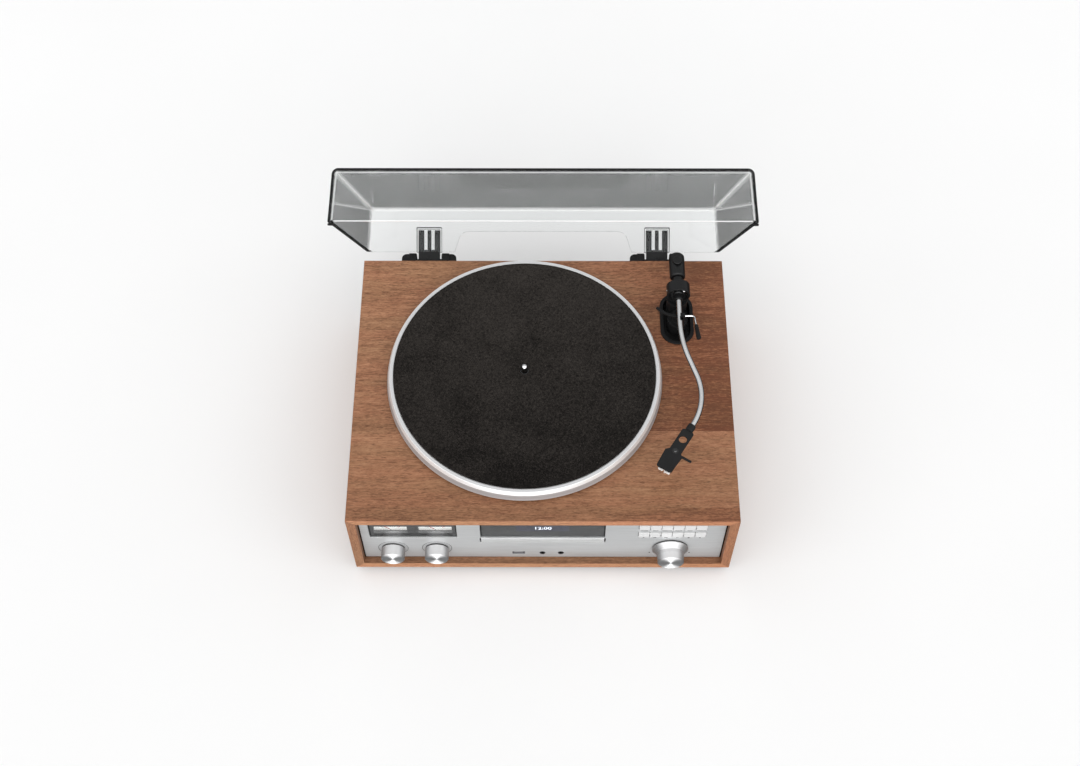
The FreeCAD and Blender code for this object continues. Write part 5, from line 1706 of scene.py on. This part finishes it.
@dataclass
class Buttons(SubAssembly):
    """Two rows of six push buttons."""

    ease: float = 0.0002
    count: int = 6
    waist: float = 0.00042
    waist_run: float = 0.0012

    def names(self) -> list[str]:
        """Names of all buttons, without their first word."""
        return ["%s_%d" % (row, i + 1) for row in ("upper", "lower") for i in range(self.count)]

    def build(self) -> None:
        """Each button rides on its own body, with its lower half a little narrower."""
        for name in self.names():
            node = "button_" + name
            form = Form.copied(node)
            middle = middle_of(node)
            for height in (middle.z, middle.z - self.waist_run):
                form.parted((0, 0, height), (0, 0, 1))
            for vert in form.mesh.verts:
                if vert.co.z < middle.z - self.waist_run / 2:
                    vert.co.x -= math.copysign(self.waist, vert.co.x - middle.x)
            self.add(node + "_finished", form.eased(self.ease), "button_silver", (node,), "key_" + name)

    def dress(self) -> None:
        """Silver paint."""
        for name in self.names():
            self.paint("button_%s_finished" % name, BUTTON_SILVER)


@dataclass
class Knobs(SubAssembly):
    """Two tone knobs and the flared volume knob, turned from bar."""

    round_corner: float = 0.0005
    rim: float = 0.0021
    dish: float = 0.0005
    chamfer: float = 0.0010
    shaft: float = 0.003
    tone_radius: float = 0.0131
    volume_radius: float = 0.0144
    volume_flare: float = 0.0007
    skirt_edge: float = 0.0009
    skirt_height: float = 0.006
    gap: float = 0.0017
    bush_inset: float = 0.0006
    bush_share: float = 0.8
    bush_overlap: float = 0.0001
    painted_shade_from: float = 0.2
    sides: int = 128
    side_painted_shade_colour: Colour = (0.70, 0.70, 0.705)
    nodes: tuple[str, ...] = ("tone_knob_left", "tone_knob_right", "volume_knob")

    def crown(self, radius: float, height: float) -> list[Point]:
        """Upper end of a knob's profile, with a dished face.

        Args:
            radius: the knob's radius there.
            height: the knob's height.

        Returns:
            The profile's last corners.
        """
        inner = radius - self.rim
        return [(radius, height - self.chamfer), (radius - self.chamfer, height), (inner, height),
                (inner - self.dish, height - self.dish), (0, height - self.dish)]

    def build(self) -> None:
        """Profiles turned about each knob's axis, with the shaft behind."""
        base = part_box("fascia")[0].y - self.gap
        for node in self.nodes:
            low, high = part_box(node)
            middle = middle_of(node)
            height = base - low.y
            tail = high.y - base
            wide = (high.x - low.x) / 2
            profile = [(0, -tail), (self.shaft, -tail), (self.shaft, 0), (wide, 0)]
            if node == "volume_knob":
                neck = self.volume_radius + self.volume_flare
                profile += [(wide, self.skirt_edge), (neck, self.skirt_height)]
                profile += self.crown(self.volume_radius, height)
            else:
                profile += self.crown(self.tone_radius, height)
            profile = rounded(profile, self.round_corner, 4, closed=False)
            place = facing(Vector((middle.x, base, middle.z)), Vector((0, -1, 0)))
            body = "knob_" + node.replace("_knob", "")
            form = Form().lathe(profile, place, self.sides)
            start, wall = -self.bush_share * self.gap, wide - self.bush_inset
            form.lathe(oblong(self.shaft, start, wall, self.bush_overlap), place, self.sides)
            behind = base + self.painted_shade_from * self.gap
            # the sides take a darker copy of the spun silver, as painted shade
            form.painted(2, lambda middle, normal: normal.y > -0.5)
            # the knob's back and the bush behind it take painted shadow for the gap to the fascia
            form.painted(1, lambda middle, normal: middle.y > behind or normal.y > 0.9)
            self.add(node + "_turned", form, "knob_silver", (node,), body)

    def dress(self) -> None:
        """Spun silver round each axis, its sides in a darker copy as painted shade, and a dark bush with
        the knob's back behind as painted shadow.
        """
        for node in self.nodes:
            middle = tuple(middle_of(node))
            finish = Spun(node + "_spun_silver", Grain.Y, middle)
            # side: a darker copy of the spun silver for the knob's sides, as painted shade
            side = Spun(node + "_side_silver", Grain.Y, middle, self.side_painted_shade_colour, 0.5, 0.8)
            self.paint(node + "_turned", finish, RECESS_PAINTED_SHADE, side)


@dataclass
class Turntable(SubAssembly):
    """Platter with its felt mat and spindle, and the drive below."""

    body: ClassVar[str] = "turntable"
    rim_width: float = 0.0041
    bevel: float = 0.0020
    bevel_down: float = 0.0045
    flare: float = 0.0036
    wall: float = 0.004
    deck_thick: float = 0.0035
    mat_recess: float = 0.0015
    hole: float = 0.00446
    corner: float = 0.0006
    mat_hole: float = 0.0048
    mat_edge: float = 0.0009
    mat_rings: int = 96
    mat_sides: int = 640
    pile: float = 0.00022
    clump_scale: float = 140.0
    clump_share: float = 0.55
    patch_scale: float = 30.0
    patch_share: float = 0.35
    sink: float = 0.45
    seat_radius: float = 0.0044
    pin_radius: float = 0.0036
    tip: float = 0.004
    rim_skin: float = 0.0001
    ring_pitch: float = 0.0006

    @property
    def mat_radius(self) -> float:
        """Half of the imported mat's width."""
        low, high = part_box("felt_mat")
        return (high.x - low.x) / 2

    def build(self) -> None:
        """Turned platter and spindle, and the felt mat."""
        low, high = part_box("platter")
        centre = middle_of("platter")
        place = Matrix.Translation((centre.x, centre.y, 0))
        skirt = (high.x - low.x) / 2
        radius = skirt - self.flare
        seat = radius - self.rim_width
        deck = high.z - self.mat_recess
        below = deck - self.deck_thick
        bevel = high.z - self.bevel_down
        profile = [(self.hole, below), (radius - self.wall, below), (skirt - self.wall, low.z),
                   (skirt, low.z), (radius + self.bevel, bevel), (radius, high.z), (seat, high.z),
                   (seat, deck), (self.hole, deck)]
        platter = Form().lathe(rounded(profile, self.corner, 4), place, 256)
        # the skirt and the flat top ring take darker copies of the spun silver, as painted shade
        platter.painted(1, lambda middle, normal: middle.z < bevel)
        platter.painted(2, lambda middle, normal: middle.z > high.z - self.rim_skin and normal.z > 0.99)
        self.add("platter_turned", platter, "platter_silver", ("platter",))

        mat_low, mat_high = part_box("felt_mat")
        mat = self.add("mat", self.mat(place, mat_low.z, mat_high.z), "felt", ("felt_mat",), weighted=False)

        pin_low, pin_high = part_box("spindle")
        shoulder = mat_high.z - self.mat_edge
        r = self.pin_radius
        pin = [(0, pin_low.z), (self.seat_radius, pin_low.z), (self.seat_radius, shoulder), (r, shoulder)]
        pin += [(r * math.cos(t), pin_high.z - self.tip * (1 - math.sin(t)))
                for t in (math.pi * i / 16 for i in range(8))]
        spindle = Form().lathe([*pin, (0, pin_high.z)], place, 64)
        # the seat below the mat's top takes painted shade for the gap round the pin
        spindle.painted(1, lambda middle, normal: middle.z < shoulder + WELD)
        self.add("spindle_turned", spindle, "chrome", ("spindle",))

    def mat(self, place: Matrix, low: float, high: float) -> Form:
        """Felt disc with a soft, uneven top and a rounded edge.

        Args:
            place: frame on the spindle's axis.
            low: height of its underside.
            high: height of its top.

        Returns:
            The mat's form.
        """
        outer, edge = self.mat_radius, self.mat_edge
        reach = outer - edge - self.mat_hole
        profile = [(self.mat_hole, low), (outer - edge, low)]
        profile += [(outer - edge + edge * math.sin(t), high - edge + edge * math.cos(t))
                    for t in (math.pi / 2, math.pi / 3, math.pi / 6)]
        profile += [(outer - edge - reach * i / self.mat_rings, high) for i in range(self.mat_rings + 1)]
        form = Form().lathe(profile, place, self.mat_sides)
        for vert in form.mesh.verts:
            if vert.co.z > low + WELD:
                clump = noise.fractal(vert.co * self.clump_scale, 1.0, 2.0, 2)
                patch = noise.noise(vert.co * self.patch_scale)
                vert.co.z += self.pile * (self.clump_share * clump + self.patch_share * patch - self.sink)
        return form

    def dress(self) -> None:
        """Satin platter with its skirt and top ring darker as painted shade, dark felt, chrome pin with
        painted shade on its seat.
        """
        middle = tuple(middle_of("platter"))

        def spun(part: str, colour: Colour, roughness: float, anisotropy: float, metal: float) -> Spun:
            """Finish of one band of the platter."""
            return Spun("platter_%s_silver" % part, Grain.Z, middle, colour, roughness, anisotropy,
                        self.ring_pitch, metal)

        # bevel silver, then skirt and rim as darker copies of it, as painted shade
        self.paint("platter_turned", spun("bevel", (0.94, 0.94, 0.94), 0.40, 0.6, 0.7),
                   spun("skirt", (0.48, 0.48, 0.49), 0.34, 0.5, 0.4),
                   spun("rim", (0.70, 0.70, 0.71), 0.34, 0.5, 0.3))
        self.paint("mat", FELT)
        self.paint("spindle_turned", CHROME, RECESS_PAINTED_SHADE)
        self.paint_node("sub_platter", DRIVE_GREY)
        self.paint_node("bearing_housing", BRASS)
        self.paint_node("motor_pulley", BRASS)
        self.paint_node("platter_motor", STEEL)
        self.paint_node("drive_belt", RUBBER_BLACK)


@dataclass
class ToneArm(SubAssembly):
    """Tonearm with its base, gimbal, S-shaped tube, counterweight and headshell."""

    body: ClassVar[str] = "arm"
    tub_ease: float = 0.0006
    tube_radius: float = 0.003
    nose_overlap: float = 0.007
    first_bend: Point = (0.0, -0.0665)
    first_radius: float = 0.1516
    second_bend: Point = (0.0266, -0.1439)
    second_radius: float = 0.0735
    head_angle: float = 32.4
    last_run: float = 0.036
    bend_steps: int = 40
    collar: float = 0.008
    screw_at: float = 0.0287
    screw_up: float = 0.0012
    screw_head: tuple[Point, ...] = ((0, 0.0001), (0.0022, 0.0001), (0.0022, 0.0006), (0.00154, 0.0011),
                                     (0, 0.0013))
    screw_cup: tuple[Point, ...] = ((0, -0.0002), (0.0034, -0.0002), (0.0034, 0.0003), (0.0029, 0.0004),
                                    (0.0023, 0.0001), (0, 0.0001))
    slot_low: Triple = (-0.0044, -0.00035, 0.0007)
    slot_high: Triple = (0.0044, 0.00035, 0.004)
    slot_turn: float = 25.0
    tip_reach: float = 0.0528
    lobe_length: float = 0.0032
    lobe_height: float = 0.0026
    lobe_top: float = 0.0105
    lobes: tuple[Point, Point] = ((-0.0068, -0.0012), (0.0012, 0.0068))
    lobe_round: float = 0.0008
    lobe_ease: float = 0.0004
    link_overlap: float = 0.001
    link_depth: float = 0.0012
    needle_tip: tuple[Point, ...] = ((0, 0), (0.0002, 0.0006), (0.0005, 0.002))
    pin_radius: float = 0.00175
    pin_reach: float = 0.0127

    def route(self) -> list[Vector]:
        """Corners of the tube's centre line, from the nose to the headshell's collar.

        Returns:
            The corners in order.
        """
        pivot = self.pivots["arm_lift"]
        turn = math.radians(self.head_angle)
        bends = [pivot + Vector((*bend, 0)) for bend in (self.first_bend, self.second_bend)]
        end = bends[1] + Vector((-math.sin(turn), -math.cos(turn), 0)) * self.last_run
        return [pivot + Vector((0, -self.nose_overlap, 0)), *bends, end]

    def build(self) -> None:
        """Fixed base first, then the parts that swing."""
        self.finished("arm_base", "base_black", "cabinet", self.tub_ease)
        self.finished("arm_pillar", "base_black", "cabinet")
        self.finished("arm_rest", "base_black", "cabinet")
        pivot = self.pivots["arm_lift"]
        ring = Form.copied("gimbal_ring")
        ring.painted(1, lambda middle, normal: math.hypot(middle.y - pivot.y, middle.z - pivot.z)
                     < self.pin_radius and abs(middle.x - pivot.x) < self.pin_reach)
        ring.eased(self.ease)
        self.add("gimbal_finished", ring, "arm_black", ("gimbal_ring",), "gimbal")
        self.finished("arm_block", "arm_black")
        self.finished("counterweight", "arm_black", "weight")
        route = self.route()
        path = bent_path(route, (self.first_radius, self.second_radius), self.bend_steps)
        tube = Form().tube(path, [self.tube_radius] * len(path), 40)
        self.add("arm_tube_bent", tube, "chrome", ("arm_tube",))
        self.finished("headshell", "shell_black")
        self.finished("cartridge", "cartridge_black")
        self.add("stylus_shaped", self.stylus(route), "stylus_white", ("stylus",))
        self.add("headshell_screw", self.screw(route), "screw_steel")

    def stylus(self, route: Sequence[Vector]) -> Form:
        """White holder with two lobes on the cartridge's front, and the needle below it.

        Args:
            route: corners of the tube's centre line.

        Returns:
            The holder's form.
        """
        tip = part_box("stylus")[0].z
        way = (route[-1] - route[-2]).normalized()
        place = Matrix.Translation((route[-1].x, route[-1].y, 0))
        place = place @ Matrix.Rotation(math.atan2(way.y, way.x), 4, "Z")
        front = self.collar + self.tip_reach
        back = front - self.lobe_length
        under = tip + self.lobe_top - self.lobe_height
        seat = place @ Matrix.Translation((0, 0, under))
        form = Form()
        for start, end in self.lobes:
            form.slab(rounded(oblong(back, start, front, end), self.lobe_round, 3), self.lobe_height, seat)
        form.eased(self.lobe_ease)
        link = oblong(back, self.lobes[0][1] - self.link_overlap, back + self.link_depth,
                      self.lobes[1][0] + self.link_overlap)
        form.slab(link, 0.5 * self.lobe_height, seat)
        needle = [(radius, tip + up) for radius, up in self.needle_tip]
        needle += [(needle[-1][0], under), (0, under)]
        return form.lathe(needle, place @ Matrix.Translation((back + self.link_depth / 2, 0, 0)), 24)

    def screw(self, route: Sequence[Vector]) -> Form:
        """Slotted screw in a cup on the headshell, the cup black as painted shade in the screw's recess.

        Args:
            route: corners of the tube's centre line.

        Returns:
            The screw's form.
        """
        way = (route[-1] - route[-2]).normalized()
        spot = route[-1] + way * (self.collar + self.screw_at)
        place = Matrix.Translation((spot.x, spot.y, spot.z + self.screw_up))
        slot = Form().block(self.slot_low, self.slot_high)
        slot.mesh.transform(place @ Matrix.Rotation(math.radians(self.slot_turn), 4, "Z"))
        form = Form().lathe(rounded(self.screw_head, 0.0003, 3, closed=False), place, 40).cut(slot)
        form.painted(1, lambda middle, normal: True)
        # the cup takes black as painted shade in the recess
        return form.lathe(rounded(self.screw_cup, 0.0002, 2, closed=False), place, 40)

    def dress(self) -> None:
        """Satin black castings, chrome tube, white stylus holder."""
        for name in ("arm_base", "arm_pillar", "arm_rest"):
            self.paint(name + "_finished", MOULDED_BLACK)
        self.paint("gimbal_finished", SATIN_BLACK, STEEL)
        self.paint("arm_block_finished", SATIN_BLACK)
        self.paint("counterweight_finished", SATIN_BLACK)
        self.paint("arm_tube_bent", CHROME)
        self.paint("headshell_finished", SHELL_BLACK)
        self.paint("cartridge_finished", SHELL_BLACK)
        self.paint("stylus_shaped", WHITE_PLASTIC)
        self.paint("headshell_screw", INK_AND_PAINTED_SHADE_BLACK, DARK_STEEL)


@dataclass
class CueLift(SubAssembly):
    """Cue lever with its rubber grip, and the curved bar that lifts the arm."""

    body: ClassVar[str] = "lever"
    lever_radius: float = 0.0011
    root: float = 0.003
    reach: float = 0.0187
    length: float = 0.0298
    splay: float = 7.0
    bend: float = 0.0032

    def build(self) -> None:
        """Bent wire lever, grip and lift bar."""
        pivot = self.pivots["cue_lever"]
        turn = math.radians(self.splay)
        corner = pivot + Vector((self.reach, 0, 0))
        end = corner + Vector((math.sin(turn), -math.cos(turn), 0)) * self.length
        path = bent_path([pivot - Vector((self.root, 0, 0)), corner, end], (self.bend,), 12)
        wire = Form().tube(path, [self.lever_radius] * len(path), 20)
        self.add("cue_lever_bent", wire, "chrome", ("cue_lever",))
        self.finished("lever_grip", "foot_rubber")
        self.finished("lift_bar", "base_black", "lift")

    def dress(self) -> None:
        """Chrome wire, rubber grip, black bar."""
        self.paint("cue_lever_bent", CHROME)
        self.paint("lever_grip_finished", RUBBER_BLACK)
        self.paint("lift_bar_finished", MOULDED_BLACK)


@dataclass
class DustCover(SubAssembly):
    """Clear cover on two hinges."""

    body: ClassVar[str] = "cover"
    ease: float = 0.0005
    rim_ease: float = 0.0004
    angle: float = 59.4
    spacing: float = 0.268
    front_line: float = 0.0010
    side_line: float = 0.0018
    corner_band: float = 0.008
    socket_half: float = 0.0145
    socket_depth: float = 0.02
    screw_up: float = 0.0053
    screw_reach: float = 0.0031
    tongue_ease: float = 0.0002
    on_edge: float = 0.8
    sideways: float = 0.5
    flat_from: float = 0.985
    rear_slope: float = 0.15
    painted_highlight_front: float = 0.93
    painted_highlight_side: float = 0.79

    def build(self) -> None:
        """Cover, bumpers, tongues and brackets."""
        self.add("dust_cover_finished", self.cover(), "cover_clear", ("dust_cover",))
        self.finished("cover_bumpers", "bumper_rubber")
        tongues = Form.copied("hinge_tongues")
        pivot = self.pivots["cover_hinge"]
        out = Matrix.Rotation(math.radians(-self.angle), 3, "X") @ Vector((0, 0, self.screw_up))
        spots = [Vector((side * self.spacing / 2, pivot.y, pivot.z)) + out for side in (-1, 1)]
        tongues.painted(1, lambda middle, normal: any((middle - spot).length < self.screw_reach
                                                      for spot in spots))
        tongues.eased(self.tongue_ease)
        self.add("hinge_tongues_finished", tongues, "hinge_black", ("hinge_tongues",))
        self.finished("hinge_brackets", "hinge_black", "cabinet")

    def cover(self) -> Form:
        """Copy of the cover with numbers for its outer curves, darkened as painted shade, and its inner
        corners and front rim, lightened as painted highlight.

        Returns:
            The cover's form.
        """
        form = Form.copied("dust_cover").eased(self.rim_ease)
        pivot = self.pivots["cover_hinge"]
        shut = Matrix.Rotation(math.radians(self.angle), 3, "X")
        spots = [shut @ (vert.co - pivot) for vert in form.mesh.verts]
        low = Vector([min(spot[k] for spot in spots) for k in range(3)])
        high = Vector([max(spot[k] for spot in spots) for k in range(3)])
        centre = (low + high) / 2
        opened = shut.transposed()
        for band in (self.front_line, self.side_line):
            form.parted(pivot + opened @ Vector((0, 0, low.z + band)), opened @ Vector((0, 0, 1)))

        def kind(middle: Vector, normal: Vector) -> CoverPart:
            """Part that a face belongs to, judged with the cover shut.

            Args:
                middle: the face's middle.
                normal: its normal.

            Returns:
                The part.
            """
            spot = shut @ (middle - pivot)
            way = shut @ normal
            at_front = spot.y < low.y + self.corner_band
            at_rear = spot.y > high.y - self.corner_band
            at_side = centre.x - low.x - abs(spot.x - centre.x) < self.corner_band
            from_hinge = abs(abs(spot.x) - self.spacing / 2)
            beside_hinge = from_hinge < self.socket_half and spot.y > high.y - self.socket_depth
            if spot.z < low.z + self.front_line and at_front and not at_side:
                return CoverPart.LINE
            if spot.z < low.z + self.side_line and at_side:
                return CoverPart.EDGE
            if at_rear and spot.z < high.z - self.corner_band and abs(way.y) < self.on_edge:
                above = spot.z > low.z + self.side_line
                dark = beside_hinge or above or abs(way.x) > self.sideways
                return CoverPart.EDGE if dark else CoverPart.CLEAR
            level = max(abs(part) for part in way)
            if level > self.flat_from or (at_rear and way.z > -self.rear_slope):
                return CoverPart.CLEAR
            if way.dot(spot - centre) < 0:
                sharp = level < (self.painted_highlight_front if at_front else self.painted_highlight_side)
                return CoverPart.GLEAM if sharp else CoverPart.CLEAR
            return CoverPart.EDGE if at_front else CoverPart.CLEAR

        for part in CoverPart:
            form.painted(part.value, lambda middle, normal: kind(middle, normal) is part)
        return form

    def dress(self) -> None:
        """Clear acrylic, rubber bumpers, black hinges."""
        self.paint("dust_cover_finished", CLEAR_COVER, COVER_EDGE_PAINTED_SHADE, COVER_PAINTED_HIGHLIGHT, COVER_RIM_PAINTED_HIGHLIGHT)
        self.paint("cover_bumpers_finished", RUBBER_BLACK)
        self.paint("hinge_tongues_finished", MOULDED_BLACK, STEEL)
        self.paint("hinge_brackets_finished", MOULDED_BLACK)


@dataclass
class Electronics(SubAssembly):
    """Boards and transformer inside the cabinet, which stay as packed."""

    def dress(self) -> None:
        """Green boards and a varnished core."""
        self.paint_node("circuit_boards", BOARD_GREEN)
        self.paint_node("power_transformer", COIL_VARNISH)


# Floor, light and camera
@dataclass(frozen=True)
class StudioFloor(Finish):
    """Pale seamless floor."""

    colour: Colour = (0.90, 0.90, 0.90)
    drift: Cloud = Cloud(3)

    def shade(self, graph: Graph) -> None:
        """Nearly even white.

        Args:
            graph: the node layout to fill.
        """
        graph.surface({
            "Base Color": graph.toned(graph.cloud(self.drift), self.colour, 0.985, 1.0),
            "Roughness": 0.9,
            "Specular IOR Level": 0.1,
        })


@dataclass
class Lamp:
    """One broad, distant light."""

    name: str
    heading: Triple
    spread: float
    strength: float
    gleam_only: bool = False

    def build(self) -> None:
        """Make the light and turn it so that it comes from its heading."""
        data = bpy.data.lights.new(self.name, "SUN")
        data.angle = math.radians(self.spread)
        data.energy = self.strength
        lamp = bpy.data.objects.new(self.name, data)
        lamp.rotation_euler = Vector(self.heading).to_track_quat("Z", "Y").to_euler()
        lamp.visible_diffuse = not self.gleam_only
        bpy.context.scene.collection.objects.link(lamp)


@dataclass
class Studio:
    """Floor, light and camera of the picture."""

    floor_half: float = 60.0
    floor_thick: float = 0.02
    bright_way: Triple = (0.0, -0.8, 0.6)
    sky_bright: float = 0.90
    sky_dark: float = 0.71
    sky_cloud: Cloud = Cloud(2.5)
    ground_front: float = 0.22
    ground_back: float = 0.015
    eye: Triple = (0.00024, -0.8526, 1.5701)
    pitch: float = 59.352
    yaw: float = -0.234
    roll: float = -0.128
    lens: float = 50.0
    sensor: float = 36.0
    lamps: tuple[Lamp, ...] = (
        Lamp("front_softbox", (0.0, -0.9, 0.45), 50.0, 1.0),
        Lamp("left_softbox", (-0.8, -0.45, 0.55), 45.0, 0.45),
        Lamp("right_softbox", (0.8, -0.45, 0.55), 45.0, 0.45),
        Lamp("gleam_softbox", (0.0, -0.9, 0.5), 80.0, 1.5, gleam_only=True),
    )

    def build(self) -> None:
        """Set up the floor, the sky, the lamps and the camera."""
        self.floor()
        self.sky_light()
        for lamp in self.lamps:
            lamp.build()
        self.camera()
        bpy.context.scene.view_settings.view_transform = "Standard"

    def floor(self) -> None:
        """Wide plate under the feet."""
        half = self.floor_half
        form = Form().block((-half, -half, -self.floor_thick), (half, half, 0.0))
        plate = form.shaped("studio_floor")
        plate.data.materials.append(StudioFloor("studio_floor_white").material())
        plate.visible_glossy = False

    def sky_light(self) -> None:
        """Dome that is bright to the front and above, and dark behind and below."""
        world = bpy.data.worlds.new("studio_sky")
        world.use_nodes = True
        bpy.context.scene.world = world
        graph = Graph(world.node_tree, "ShaderNodeOutputWorld")
        way = graph.coordinates.outputs["Generated"]
        lean = graph.vector("DOT_PRODUCT", way, self.bright_way).outputs["Value"]
        upper = graph.span(lean, -0.2, 0.9, self.sky_dark, self.sky_bright)
        cloud = graph.noise(way, self.sky_cloud)
        parts = graph.add("SeparateXYZ", {0: way})
        lower = graph.span(parts.outputs["Y"], -0.8, 0.3, self.ground_front, self.ground_back)
        lower = graph.math("MULTIPLY", lower, graph.span(cloud, 0.3, 0.7, 0.7, 1.3))
        above = graph.span(parts.outputs["Z"], -0.08, -0.01)
        strength = graph.add("Mix", {0: above, 2: lower, 3: upper}, data_type="FLOAT").outputs[0]
        graph.show(graph.add("Background", {"Color": (*NO_TINT, 1.0), "Strength": strength}))

    def camera(self) -> None:
        """Camera at the picture's angle."""
        data = bpy.data.cameras.new("camera")
        data.lens = self.lens
        data.sensor_width = self.sensor
        camera = bpy.data.objects.new("camera", data)
        pitch, yaw = math.radians(self.pitch), math.radians(self.yaw)
        level = math.cos(pitch)
        forward = Vector((math.sin(yaw) * level, math.cos(yaw) * level, -math.sin(pitch)))
        turn = forward.to_track_quat("-Z", "Y") @ Quaternion((0, 0, 1), math.radians(self.roll))
        camera.location = self.eye
        camera.rotation_euler = turn.to_euler()
        bpy.context.scene.collection.objects.link(camera)
        bpy.context.scene.camera = camera


def main() -> None:
    """Load the frame, build and dress every sub-assembly, and set up the picture."""
    logging.basicConfig(level=logging.INFO, format="%(message)s")
    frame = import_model()
    pivots = {joint["name"]: Vector(joint["pos_m"]) for joint in frame["joints"] if "pos_m" in joint}
    kinds = (Cabinet, RearPanel, FrontPanel, LevelMeters, DisplayWindow, DiscDrive, Buttons, Knobs,
             Turntable, ToneArm, CueLift, DustCover, Electronics)
    for kind in kinds:
        group = kind(pivots)
        group.build()
        group.dress()
        for name in group.pieces:
            LOG.info("%s: %s", type(group).__name__, name)
    Studio().build()


if __name__ == "__main__":
    main()
